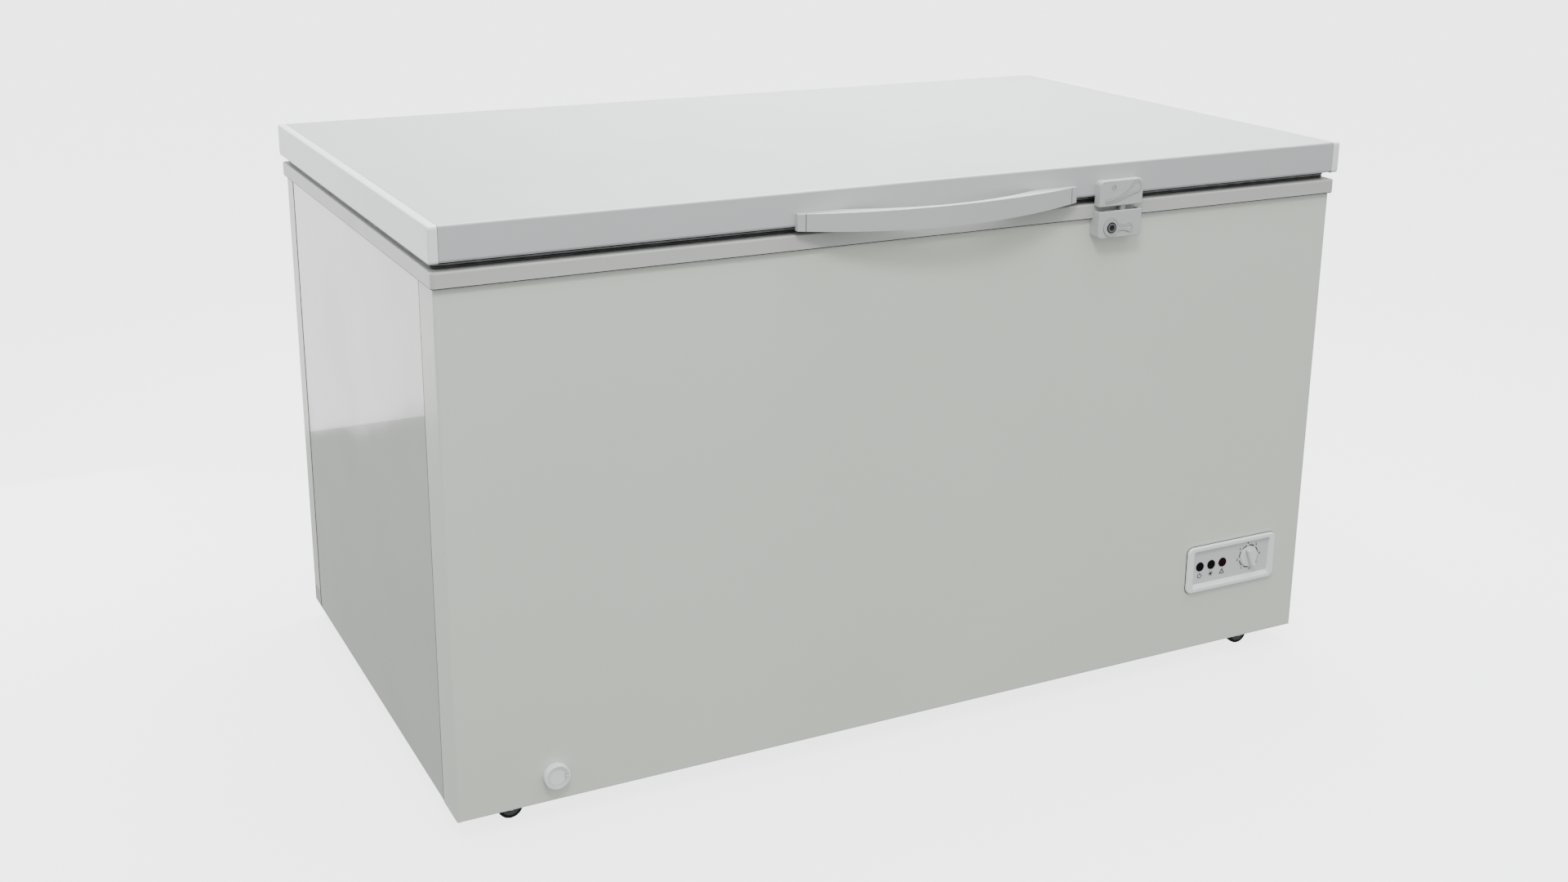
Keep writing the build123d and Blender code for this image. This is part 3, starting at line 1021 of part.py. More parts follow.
# ---------------------------------------------------------------- files
PIECES = {
    "front_panel": front_panel,
    "back_panel": back_panel,
    **side_panels,
    "base_pan": base_pan,
    "machine_bulkhead": machine_bulkhead,
    "inner_liner": inner_liner,
    "top_frame": top_frame,
    "cabinet_foam": cabinet_foam,
    "evaporator_coil": evaporator_coil,
    "suction_tube": suction_tube,
    "condenser_coil": condenser_coil,
    "drain_elbow": drain_elbow,
    "drain_slider": drain_slider,
    "drain_dial": drain_dial,
    "drain_plug": drain_plug,
    "compressor_base": compressor_base,
    "compressor_grommets": compressor_grommets,
    "compressor_bolts": compressor_bolts,
    "compressor_shell": compressor_shell,
    "compressor_terminal_cover": compressor_terminal_cover,
    "discharge_tube": discharge_tube,
    "filter_drier": filter_drier,
    "rear_cover": rear_cover,
    "cord_gland": cord_gland,
    "vent_grille": vent_grille,
    "control_bezel": control_bezel,
    "control_fascia": control_fascia,
    **lamps,
    "thermostat_knob": thermostat_knob,
    "thermostat_spindle": thermostat_spindle,
    "thermostat_body": thermostat_body,
    "lock_body": lock_body,
    "lock_cylinder": lock_cylinder,
    "lock_cam": lock_cam,
    "lock_keeper": lock_keeper,
    "hinge_brackets": hinge_brackets,
    "hinge_pins": hinge_pins,
    "hinge_arms": hinge_arms,
    "hinge_springs": hinge_springs,
    "cabinet_screws": cabinet_screws,
    "roller_brackets": roller_brackets,
    "roller_axles": roller_axles,
    **rollers,
    "basket": basket,
    "lid_skin": lid_skin,
    **lid_caps,
    "lid_liner": lid_liner,
    "lid_foam": lid_foam,
    "lid_gasket": lid_gasket,
    "handle_body": handle_body,
    "handle_cover": handle_cover,
    "lid_screws": lid_screws,
}
for name, piece in PIECES.items():
    piece.part.label = name
    export_step(piece.part, f"parts/{name}.step")
print(len(PIECES), "pieces")
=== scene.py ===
"""Looks of the chest freezer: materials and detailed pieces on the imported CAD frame, in metres."""
import json
from math import cos, pi, radians, sin

import bmesh
import bpy
from mathutils import Matrix, Vector


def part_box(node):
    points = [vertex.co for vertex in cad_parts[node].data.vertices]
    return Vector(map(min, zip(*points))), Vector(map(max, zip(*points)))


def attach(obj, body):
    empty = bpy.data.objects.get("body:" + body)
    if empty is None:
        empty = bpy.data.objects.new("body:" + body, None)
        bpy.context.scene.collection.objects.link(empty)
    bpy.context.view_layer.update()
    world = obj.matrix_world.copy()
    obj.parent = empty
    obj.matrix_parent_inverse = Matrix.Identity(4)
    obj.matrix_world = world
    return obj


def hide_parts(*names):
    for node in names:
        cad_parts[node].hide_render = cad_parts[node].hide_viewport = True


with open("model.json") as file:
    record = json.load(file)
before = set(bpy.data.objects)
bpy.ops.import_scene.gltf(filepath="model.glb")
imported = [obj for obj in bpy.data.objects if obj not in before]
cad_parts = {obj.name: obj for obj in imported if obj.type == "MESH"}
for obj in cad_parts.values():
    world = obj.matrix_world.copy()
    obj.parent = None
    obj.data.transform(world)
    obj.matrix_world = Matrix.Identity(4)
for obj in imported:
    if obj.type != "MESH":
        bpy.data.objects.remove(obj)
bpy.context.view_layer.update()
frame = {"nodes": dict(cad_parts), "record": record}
nodes = frame["nodes"]


# ---------------------------------------------------------------- materials
class Shade:
    """A Principled material with helpers for its procedural detail."""

    def __init__(self, name, colour, roughness, metallic=0.0, **sockets):
        self.material = bpy.data.materials.new(name)
        self.material.use_nodes = True
        self.nodes = self.material.node_tree.nodes
        self.links = self.material.node_tree.links
        self.shader = self.nodes["Principled BSDF"]
        self.colour = colour
        self.place = self.nodes.new("ShaderNodeTexCoord").outputs["Object"]
        self.normal = None
        self.shader.inputs["Base Color"].default_value = (*colour, 1)
        self.shader.inputs["Roughness"].default_value = roughness
        self.shader.inputs["Metallic"].default_value = metallic
        for socket, value in sockets.items():
            self.shader.inputs[socket.replace("_", " ")].default_value = value

    def noise(self, scale, detail=2.0, stretch=(1, 1, 1)):
        """Fractal noise; scale is features per metre."""
        mapping = self.nodes.new("ShaderNodeMapping")
        mapping.inputs["Scale"].default_value = stretch
        self.links.new(self.place, mapping.inputs["Vector"])
        texture = self.nodes.new("ShaderNodeTexNoise")
        texture.inputs["Scale"].default_value = scale
        texture.inputs["Detail"].default_value = detail
        self.links.new(mapping.outputs[0], texture.inputs["Vector"])
        return texture.outputs["Fac"]

    def cells(self, scale, feature="F1", output="Distance"):
        """Voronoi cells; scale is cells per metre."""
        texture = self.nodes.new("ShaderNodeTexVoronoi")
        texture.feature = feature
        texture.inputs["Scale"].default_value = scale
        self.links.new(self.place, texture.inputs["Vector"])
        return texture.outputs[output]

    def tint(self, value, low, high, start=0.3, end=0.7):
        """Colours the surface between two multiples of its own colour."""
        ramp = self.nodes.new("ShaderNodeValToRGB")
        ramp.color_ramp.elements[0].position = start
        ramp.color_ramp.elements[1].position = end
        for element, factor in zip(ramp.color_ramp.elements, (low, high)):
            factors = factor if isinstance(factor, tuple) else (factor,) * 3
            element.color = (*(min(c * f, 1.0) for c, f in zip(self.colour, factors)), 1)
        self.links.new(value, ramp.inputs["Fac"])
        self.links.new(ramp.outputs["Color"], self.shader.inputs["Base Color"])

    def painted_crease_shade(self, distance):
        """Painted shade: darkens the colour in corners and grooves narrower than a distance, where shade
        would fall.
        """
        node = self.nodes.new("ShaderNodeAmbientOcclusion")
        node.only_local = True
        node.inputs["Distance"].default_value = distance
        socket = self.shader.inputs["Base Color"]
        self.links.new(socket.links[0].from_socket, node.inputs["Color"])
        self.links.new(node.outputs["Color"], socket)

    def rough(self, value, low, high):
        """Roughness that follows a value between two limits."""
        node = self.nodes.new("ShaderNodeMapRange")
        node.inputs["From Min"].default_value = 0.3
        node.inputs["From Max"].default_value = 0.7
        node.inputs["To Min"].default_value = low
        node.inputs["To Max"].default_value = high
        self.links.new(value, node.inputs["Value"])
        self.links.new(node.outputs["Result"], self.shader.inputs["Roughness"])

    def bump(self, value, distance, strength=1.0):
        """Raises the surface by a value times distance, on top of earlier bumps."""
        node = self.nodes.new("ShaderNodeBump")
        node.inputs["Distance"].default_value = distance
        node.inputs["Strength"].default_value = strength
        self.links.new(value, node.inputs["Height"])
        if self.normal:
            self.links.new(self.normal, node.inputs["Normal"])
        self.normal = node.outputs["Normal"]
        self.links.new(self.normal, self.shader.inputs["Normal"])


def enamel(name, colour, roughness, peel, wave, cloud_and_reflection_mottle=0.025, **sockets):
    """Painted sheet steel: orange peel, slight waves in the sheet and a faint cloudiness of tone, made
    stronger on the side panels as painted mottle standing in for a mottled reflection.
    """
    shade = Shade(name, colour, roughness, **sockets)
    shade.tint(shade.noise(2.2, 9.0), 1 - cloud_and_reflection_mottle, 1 + cloud_and_reflection_mottle / 2)
    shade.rough(shade.noise(14.0, 5.0), roughness - 0.035, roughness + 0.05)
    shade.bump(shade.noise(3.4, 1.0), wave)
    shade.bump(shade.noise(420.0, 3.0), peel)
    return shade.material


# Reach of the painted shade that darkens creases of moulded plastic
CREASE_SHADE_REACH = 0.0022


def moulding(name, colour, roughness, grain=0.000012, **sockets):
    """Injection-moulded plastic: fine spark grain, slight flow marks and painted shade in its creases."""
    shade = Shade(name, colour, roughness, **sockets)
    shade.tint(shade.noise(9.0, 3.0, (1, 1, 3)), 0.985, 1.01)
    shade.rough(shade.noise(12.0, 2.0), roughness - 0.02, roughness + 0.03)
    shade.bump(shade.noise(1900.0, 2.0), grain)
    shade.bump(shade.noise(9.0, 1.0), 0.0003, 0.4)
    # Painted shade darkening corners and grooves
    shade.painted_crease_shade(CREASE_SHADE_REACH)
    return shade.material


def zinc(name, colour, roughness):
    """Zinc-plated steel with a spangle and rolling marks."""
    shade = Shade(name, colour, roughness, 1.0)
    shade.tint(shade.cells(95.0, output="Color"), 0.78, 1.12, 0.1, 0.9)
    shade.rough(shade.noise(60.0, 5.0, (1, 8, 1)), roughness - 0.1, roughness + 0.14)
    shade.bump(shade.noise(700.0, 3.0, (1, 9, 1)), 0.00004)
    return shade.material


def stucco():
    """Embossed aluminium sheet of the tank."""
    shade = Shade("tank_aluminium", (0.66, 0.67, 0.68), 0.42, 0.9)
    shade.tint(shade.noise(5.0, 4.0), 0.90, 1.05)
    shade.rough(shade.noise(40.0, 4.0), 0.38, 0.50)
    shade.bump(shade.cells(230.0, "SMOOTH_F1"), 0.0004, 0.6)
    shade.bump(shade.noise(330.0, 2.0), 0.00015, 0.5)
    return shade.material


def copper():
    """Copper tube with a darker patina in patches."""
    shade = Shade("copper", (0.78, 0.42, 0.27), 0.3, 1.0)
    shade.tint(shade.noise(45.0, 6.0), (0.55, 0.5, 0.5), 1.08)
    shade.rough(shade.noise(70.0, 5.0), 0.22, 0.5)
    shade.bump(shade.noise(500.0, 3.0), 0.00006)
    return shade.material


def foam():
    """Cut polyurethane foam."""
    shade = Shade("foam", (0.86, 0.76, 0.48), 0.9)
    shade.tint(shade.noise(60.0, 6.0), (0.86, 0.84, 0.8), 1.06)
    shade.bump(shade.cells(900.0), 0.0006)
    shade.bump(shade.noise(80.0, 5.0), 0.002, 0.6)
    return shade.material


def rubber(name, colour, roughness):
    """Soft vinyl or rubber with a dusty bloom."""
    shade = Shade(name, colour, roughness)
    shade.tint(shade.noise(55.0, 6.0), 0.8, 1.45)
    shade.rough(shade.noise(120.0, 4.0), roughness - 0.1, roughness + 0.12)
    shade.bump(shade.noise(1500.0, 3.0), 0.00006)
    return shade.material


def black_enamel():
    """Thick black paint of the compressor."""
    shade = Shade("black_paint", (0.018, 0.018, 0.02), 0.25, Coat_Weight=0.4)
    shade.tint(shade.noise(25.0, 5.0), 0.8, 1.6)
    shade.rough(shade.noise(45.0, 4.0), 0.18, 0.36)
    shade.bump(shade.noise(300.0, 3.0), 0.00015)
    return shade.material


def lens(name, colour):
    """Unlit lamp lens, with a faint moulded swirl."""
    shade = Shade(name, colour, 0.35, Specular_IOR_Level=0.08)
    shade.tint(shade.noise(260.0, 2.0), 0.6, 1.5)
    shade.rough(shade.noise(300.0, 3.0), 0.3, 0.45)
    shade.bump(shade.noise(500.0, 1.0), 0.00004)
    return shade.material


def ink(name, colour):
    """Printed ink with slightly uneven cover."""
    shade = Shade(name, colour, 0.5)
    shade.tint(shade.noise(900.0, 3.0), 0.7, 1.8)
    shade.bump(shade.noise(2400.0, 2.0), 0.00002)
    return shade.material


WHITE = (0.92, 0.93, 0.915)
MATERIALS = {
    "painted_steel": enamel("painted_steel", (0.705, 0.74, 0.655), 0.40, 0.00005, 0.0011,
                            Coat_Weight=0.25, Coat_Roughness=0.14),
    # Side panels: their strong cloudiness (0.07) is painted mottle standing in for a mottled reflection
    "painted_steel_gloss": enamel("painted_steel_gloss", (0.555, 0.585, 0.52), 0.09, 0.00012, 0.0120,
                                  0.07, Coat_Weight=0.6, Coat_Roughness=0.03),
    # Lid paint, bluer than the cabinet's; its darker tone is partly painted shade for the lid's front face,
    # and the lid light brightens its top again
    "lid_steel": enamel("lid_steel", (0.515, 0.535, 0.535), 0.42, 0.00005, 0.0009,
                        Coat_Weight=0.25, Coat_Roughness=0.16),
    "rim_plastic": moulding("rim_plastic", (0.52, 0.53, 0.50), 0.34),
    "white_plastic": moulding("white_plastic", WHITE, 0.30),
    "knob_plastic": moulding("knob_plastic", (0.80, 0.81, 0.80), 0.28),
    "fascia_plastic": moulding("fascia_plastic", (0.66, 0.68, 0.675), 0.5, 0.00001),
    "drain_plastic": moulding("drain_plastic", (0.80, 0.81, 0.80), 0.30),
    "black_plastic": moulding("black_plastic", (0.025, 0.025, 0.027), 0.45),
    "roller_nylon": moulding("roller_nylon", (0.008, 0.008, 0.008), 0.5, Specular_IOR_Level=0.2),
    "zinc_steel": zinc("zinc_steel", (0.62, 0.63, 0.64), 0.38),
    "lock_chrome": zinc("lock_chrome", (0.36, 0.36, 0.37), 0.22),
    "hinge_steel": enamel("hinge_steel", (0.60, 0.61, 0.61), 0.34, 0.00008, 0.0),
    "basket_wire": enamel("basket_wire", (0.80, 0.81, 0.80), 0.25, 0.00010, 0.0, Coat_Weight=0.4),
    "tank_aluminium": stucco(),
    "copper": copper(),
    "foam": foam(),
    "gasket_rubber": rubber("gasket_rubber", (0.050, 0.053, 0.054), 0.42),
    # Paler rubber for the painted highlight along the gasket's rib
    "gasket_highlight_line": rubber("gasket_highlight_line", (0.21, 0.215, 0.22), 0.42),
    "black_rubber": rubber("black_rubber", (0.02, 0.02, 0.02), 0.6),
    "black_paint": black_enamel(),
    "lamp_blue": lens("lamp_blue", (0.0015, 0.0020, 0.0060)),
    "lamp_green": lens("lamp_green", (0.0010, 0.0032, 0.0016)),
    "lamp_red": lens("lamp_red", (0.0150, 0.0010, 0.0028)),
}
INK = ink("dark_ink", (0.010, 0.011, 0.012))
KEY_METAL = zinc("dark_key_metal", (0.05, 0.05, 0.052), 0.3)
HUB = moulding("roller_hub", (0.06, 0.063, 0.063), 0.42)
# Dark material of the painted shade strips at seams, gaps and joints
SEAM_SHADE = rubber("painted_seam_shade", (0.045, 0.046, 0.045), 0.7)
SATIN = moulding("satin_plastic", (0.51, 0.525, 0.51), 0.30, 0.000004)
SATIN_NODES = ("handle_body", "handle_cover", "lock_body", "lock_keeper")

slots = {part["node"]: part["material_slot"] for part in frame["record"]["subparts"]}
for name, node in nodes.items():
    node.data.materials.clear()
    node.data.materials.append(SATIN if name in SATIN_NODES else MATERIALS[slots[name]])


# ---------------------------------------------------------------- building pieces
def piece(name, mesh, material, body, replaced=()):
    """Object that rides on a body and takes its finish from a material slot."""
    mesh.materials.append(material)
    made = bpy.data.objects.new(name, mesh)
    bpy.context.scene.collection.objects.link(made)
    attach(made, body)
    if replaced:
        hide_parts(*replaced)


def from_faces(name, points, faces, smooth=False):
    """Mesh with its normals outward."""
    mesh = bpy.data.meshes.new(name)
    mesh.from_pydata(points, [], faces)
    work = bmesh.new()
    work.from_mesh(mesh)
    bmesh.ops.remove_doubles(work, verts=work.verts, dist=1e-6)
    bmesh.ops.recalc_face_normals(work, faces=work.faces)
    for face in work.faces:
        face.smooth = smooth
    work.to_mesh(mesh)
    work.free()
    return mesh


def band(rows, closed_across, closed_along):
    """Quads between rows of points."""
    size = len(rows[0])
    faces = []
    for i in range(len(rows) if closed_along else len(rows) - 1):
        a, b = i * size, (i + 1) % len(rows) * size
        for j in range(size if closed_across else size - 1):
            k = (j + 1) % size
            faces.append((a + j, a + k, b + k, b + j))
    return [p for row in rows for p in row], faces


def rounded(half_x, half_y, radius, steps=8):
    """Points of a rounded rectangle about the origin."""
    points = []
    for quarter, (sx, sy) in enumerate(((1, 1), (-1, 1), (-1, -1), (1, -1))):
        for step in range(steps + 1):
            angle = pi / 2 * (quarter + step / steps)
            points.append((sx * (half_x - radius) + radius * cos(angle),
                           sy * (half_y - radius) + radius * sin(angle)))
    return points


def turned(name, profile, x, z, steps=64):
    """Piece turned about a line along Y; profile is (radius, y)."""
    rows = []
    for step in range(steps):
        angle = 2 * pi * step / steps
        rows.append([(x + r * cos(angle), y, z + r * sin(angle)) for r, y in profile])
    points, faces = band(rows, False, True)
    mesh = from_faces(name, points, faces, True)
    mesh.set_sharp_from_angle(angle=radians(40))
    return mesh


def sheets(name, outlines, y_front, y_back):
    """Flat figures facing -Y with a little thickness; each outline is a list of (x, z)."""
    points, faces = [], []
    for outline in outlines:
        start, size = len(points), len(outline)
        points += [(x, y_front, z) for x, z in outline] + [(x, y_back, z) for x, z in outline]
        faces += [list(range(start, start + size))]
        faces += [(start + i, start + (i + 1) % size, start + size + (i + 1) % size, start + size + i)
                  for i in range(size)]
    return from_faces(name, points, faces)


def arc_strip(x, z, radius, start, end, width_start, width_end, steps=14):
    """Outline of an arc whose width changes along it; angles in degrees from +X."""
    outer, inner = [], []
    for step in range(steps + 1):
        t = step / steps
        angle = radians(start + (end - start) * t)
        half = (width_start + (width_end - width_start) * t) / 2
        outer.append((x + (radius + half) * cos(angle), z + (radius + half) * sin(angle)))
        inner.append((x + (radius - half) * cos(angle), z + (radius - half) * sin(angle)))
    return outer + inner[::-1]


def bar(x0, z0, x1, z1, width):
    """Outline of a straight stroke."""
    along = Vector((x1 - x0, z1 - z0)).normalized()
    side = Vector((-along.y, along.x)) * width / 2
    return [(x0 + side.x, z0 + side.y), (x1 + side.x, z1 + side.y),
            (x1 - side.x, z1 - side.y), (x0 - side.x, z0 - side.y)]


def wires(name, runs, radius, material, body, replaced=()):
    """Round wires along runs; a run is (points, closed)."""
    curve = bpy.data.curves.new(name, "CURVE")
    curve.dimensions = "3D"
    curve.bevel_depth = radius
    curve.bevel_resolution = 2
    curve.use_fill_caps = True
    for points, closed in runs:
        spline = curve.splines.new("POLY")
        spline.points.add(len(points) - 1)
        for target, point in zip(spline.points, points):
            target.co = (*point, 1)
        spline.use_cyclic_u = closed
    piece(name, curve, material, body, replaced)


# ---------------------------------------------------------------- camera
camera = bpy.data.objects.new("camera", bpy.data.cameras.new("camera"))
bpy.context.scene.collection.objects.link(camera)
bpy.context.scene.camera = camera
azimuth, elevation, roll = radians(-26.98), radians(16.05), radians(0.43)
back = Vector((sin(azimuth) * cos(elevation), -cos(azimuth) * cos(elevation), sin(elevation)))
right = Vector((0, 0, 1)).cross(back).normalized()
up = back.cross(right)
tilted_right = cos(roll) * right + sin(roll) * up
tilted_up = cos(roll) * up - sin(roll) * right
turn = Matrix((tilted_right, tilted_up, back)).transposed()
camera.matrix_world = Matrix.Translation((-1.3016, -2.4888, 1.307)) @ turn.to_4x4()
camera.data.sensor_width = 36.0
camera.data.lens = 42.05
camera.data.shift_y = -0.0625

# ---------------------------------------------------------------- gasket
low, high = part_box("lid_gasket")
RIBS = 3
PINCH = 0.0022
WIDTH = 0.022
SIDE_LIP = 0.011
GASKET_CORNER = 0.010
section = []
for step in range(RIBS * 8 + 1):
    t = step / (RIBS * 8)
    dent = PINCH * (1 - abs(sin(RIBS * pi * t)))
    section.append((dent, low.z + (high.z - low.z) * t))
section += [(WIDTH - dent, z) for dent, z in reversed(section)]
middle = (low + high) / 2
half_x, half_y = (high.x - low.x) / 2 + SIDE_LIP, (high.y - low.y) / 2
rows = []
for inset, z in section:
    outline = rounded(half_x - inset, half_y - inset, max(GASKET_CORNER - inset, 0.001))
    rows.append([(middle.x + x, middle.y + y, z) for x, y in outline])
gasket_mesh = from_faces("gasket_bellows", *band(rows, True, True), True)
gasket_mesh.set_sharp_from_angle(angle=radians(50))
piece("gasket_bellows", gasket_mesh, MATERIALS["gasket_rubber"], "lid", ["lid_gasket"])

# ---------------------------------------------------------------- seams: dark strips of painted shade, and a painted highlight on the gasket
RIM_HEIGHT = 0.020
END_CAP = 0.013
FRONT_WRAP = 0.061
BACK_WRAP = 0.040
# Depth of the painted shade and highlight strips
PAINTED_STRIP = 0.0013
LINE_PROUD = 0.0003
LINE_HALF = 0.0009
front_low, front_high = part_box("front_panel")
back_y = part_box("back_panel")[1].y
rim_low, rim_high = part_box("top_frame")
rim_bottom = rim_high.z - RIM_HEIGHT


def hoop(name, outline, levels, body, place, material=None):
    """Thin band round an object, between two levels.

    outline(inset) gives (a, b) pairs and place turns a, b and a level into a point.
    """
    section = [(levels[0], 0), (levels[1], 0), (levels[1], PAINTED_STRIP * 2), (levels[0], PAINTED_STRIP * 2)]
    rows = [[place(a, b, level) for a, b in outline(inset)] for level, inset in section]
    piece(name, from_faces(name, *band(rows, True, True)), material or SEAM_SHADE, body)


# Painted highlight: a paler line along the middle rib of the gasket, standing in for the light the rib
# catches
hoop("gasket_highlight_line", lambda inset: rounded(half_x + LINE_PROUD - inset, half_y + LINE_PROUD - inset,
                                          GASKET_CORNER + LINE_PROUD - inset),
     (middle.z - LINE_HALF, middle.z + LINE_HALF), "lid",
     lambda a, b, z: (middle.x + a, middle.y + b, z), MATERIALS["gasket_highlight_line"])

# Dark strip under the rim: painted shadow of the rim's overhang on the cabinet
rim_y = (rim_low.y + rim_high.y) / 2
hoop("rim_shadow_strip", lambda inset: rounded(rim_high.x - 0.0006 - inset,
                                       rim_high.y - rim_y - 0.0006 - inset, 0.0055 - inset),
     (rim_bottom - PAINTED_STRIP, rim_bottom), "cabinet", lambda a, b, z: (a, rim_y + b, z))

# Dark bands at the joints of the lid's end caps, at the bottom of their grooves: painted shade in the
# grooves
cap_low, cap_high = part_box("lid_end_cap_left")
cap_y, cap_z = (cap_low.y + cap_high.y) / 2, (cap_low.z + cap_high.z) / 2
for name, side in (("left", -1), ("right", 1)):
    joint = side * (-cap_low.x - END_CAP)
    hoop("cap_joint_shade_" + name, lambda inset: rounded(cap_high.y - cap_y - 0.0003 - inset,
                                                    cap_high.z - cap_z - 0.0003 - inset, 0.0042 - inset),
         (joint, joint + 0.0009 * side), "lid", lambda a, b, x: (x, cap_y + a, cap_z + b))
    # Dark strips where the front and back sheets lap over the side panel: painted shade along the sheet
    # edges
    face_x = side * front_high.x
    points, faces = [], []
    for y, width in ((front_low.y + FRONT_WRAP, 2 * PAINTED_STRIP), (back_y - BACK_WRAP - PAINTED_STRIP, PAINTED_STRIP)):
        start = len(points)
        points += [(x, y + dy, z) for z in (front_low.z + 0.001, rim_bottom)
                   for x in (face_x - side * 0.0012, face_x - side * 0.0001) for dy in (0, width)]
        faces += [tuple(start + i for i in face) for face in
                  ((0, 1, 3, 2), (4, 5, 7, 6), (0, 1, 5, 4), (2, 3, 7, 6), (0, 2, 6, 4), (1, 3, 7, 5))]
    name = "side_seams_" + name
    piece(name, from_faces(name, points, faces), SEAM_SHADE, "cabinet")

# Dark outline round the base of the control panel's bezel: painted shadow of the bezel
PANEL_SHADE_OUTSET = 0.0009
BEZEL_CORNER = 0.010
bezel_low, bezel_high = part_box("control_bezel")
bezel_x, bezel_z = (bezel_low.x + bezel_high.x) / 2, (bezel_low.z + bezel_high.z) / 2
hoop("panel_shadow_outline", lambda inset: rounded(bezel_high.x - bezel_x + PANEL_SHADE_OUTSET - inset,
                                           bezel_high.z - bezel_z + PANEL_SHADE_OUTSET - inset,
                                           BEZEL_CORNER + PANEL_SHADE_OUTSET - inset),
     (front_low.y - PANEL_SHADE_OUTSET, front_low.y + 0.0002), "cabinet",
     lambda a, b, y: (bezel_x + a, y, bezel_z + b))

# Dark wires at the joints between the handle and the ends of its cover strip: painted shade in the joints
JOINT_SHADE_RADIUS = 0.0005
cover = [vertex.co for vertex in nodes["handle_cover"].data.vertices]
cover_end = max(point.x for point in cover)
runs = []
for end in (-1, 1):
    edge = [point for point in cover if abs(point.x - end * cover_end) < 0.0004]
    joint_x, joint_y = end * (cover_end + 0.0003), min(point.y for point in edge) + 0.0002
    runs.append(([(joint_x, joint_y, min(point.z for point in edge)),
                  (joint_x, joint_y, max(point.z for point in edge))], False))
wires("handle_joint_shade", runs, JOINT_SHADE_RADIUS, SEAM_SHADE, "lid")

# ---------------------------------------------------------------- rollers
for name in ("roller_front_left", "roller_front_right", "roller_back_left", "roller_back_right"):
    low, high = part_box(name)
    x, z = (low.x + high.x) / 2, (low.z + high.z) / 2
    radius = (high.z - low.z) / 2
    tyre = [(0.0128, low.y + 0.0006), (0.0150, low.y), (0.0166, low.y + 0.0007), (0.0176, low.y + 0.0022),
            (radius, low.y + 0.0048), (radius, high.y - 0.0048), (0.0176, high.y - 0.0022),
            (0.0166, high.y - 0.0007), (0.0150, high.y), (0.0128, high.y - 0.0006)]
    tyre += [(0.0126, high.y - 0.004), (0.0126, low.y + 0.004), tyre[0]]
    piece(name + "_tyre", turned(name + "_tyre", tyre, x, z), MATERIALS["roller_nylon"], name,
          [name])
    hub = [(0.0032, low.y + 0.0004), (0.0062, low.y + 0.0004), (0.0070, low.y + 0.0012),
           (0.0076, low.y + 0.0026), (0.0112, low.y + 0.0022), (0.0127, low.y + 0.0008),
           (0.0127, high.y - 0.0008), (0.0112, high.y - 0.0022), (0.0076, high.y - 0.0026),
           (0.0062, high.y - 0.0004), (0.0032, high.y - 0.0004), (0.0032, low.y + 0.0004)]
    piece(name + "_hub", turned(name + "_hub", hub, x, z), HUB, name)

# ---------------------------------------------------------------- basket
low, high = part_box("basket")
THIN = 0.0015
THICK = 0.0024
BEND = 0.010
BASKET_CORNER = 0.014
HANGER = 0.020
HOOP_GAP = 0.042
LONG_WIRES = 10
CROSS_WIRES = 24
RAIL_Z = high.z - THICK
front, rear = low.y + HANGER, high.y - HANGER
left_x, right_x = low.x + THICK, high.x - THICK
floor_z = low.z + THIN
mid_x, mid_y = (left_x + right_x) / 2, (front + rear) / 2
frame_runs = []
for y in (low.y + THICK, high.y - THICK):
    frame_runs.append(([(left_x, y, RAIL_Z), (right_x, y, RAIL_Z)], False))
for x in (left_x, mid_x, right_x):
    frame_runs.append(([(x, low.y + THICK, RAIL_Z), (x, front, RAIL_Z)], False))
    frame_runs.append(([(x, rear, RAIL_Z), (x, high.y - THICK, RAIL_Z)], False))
top_loop = rounded((right_x - left_x) / 2, (rear - front) / 2, BASKET_CORNER, 5)
frame_runs.append(([(mid_x + x, mid_y + y, RAIL_Z) for x, y in top_loop], True))
wires("basket_frame", frame_runs, THICK, MATERIALS["basket_wire"], "wire_basket", ["basket"])
mesh_runs = []
for level in range(1, 6):
    loop = rounded((right_x - left_x) / 2 - 0.002, (rear - front) / 2 - 0.002, BASKET_CORNER, 5)
    z = floor_z + level * HOOP_GAP
    mesh_runs.append(([(mid_x + x, mid_y + y, z) for x, y in loop], True))
for i in range(1, LONG_WIRES):
    x = left_x + (right_x - left_x) * i / LONG_WIRES
    mesh_runs.append(([(x, front, RAIL_Z), (x, front, floor_z + BEND),
                       (x, front + BEND * 0.3, floor_z + BEND * 0.3),
                       (x, front + BEND, floor_z), (x, rear - BEND, floor_z),
                       (x, rear - BEND * 0.3, floor_z + BEND * 0.3), (x, rear, floor_z + BEND),
                       (x, rear, RAIL_Z)], False))
for i in range(1, CROSS_WIRES):
    y = front + (rear - front) * i / CROSS_WIRES
    z = floor_z + 2 * THIN
    mesh_runs.append(([(left_x, y, RAIL_Z), (left_x, y, z + BEND), (left_x + BEND * 0.3, y, z + BEND * 0.3),
                       (left_x + BEND, y, z), (right_x - BEND, y, z),
                       (right_x - BEND * 0.3, y, z + BEND * 0.3), (right_x, y, z + BEND),
                       (right_x, y, RAIL_Z)], False))
wires("basket_mesh", mesh_runs, THIN, MATERIALS["basket_wire"], "wire_basket")

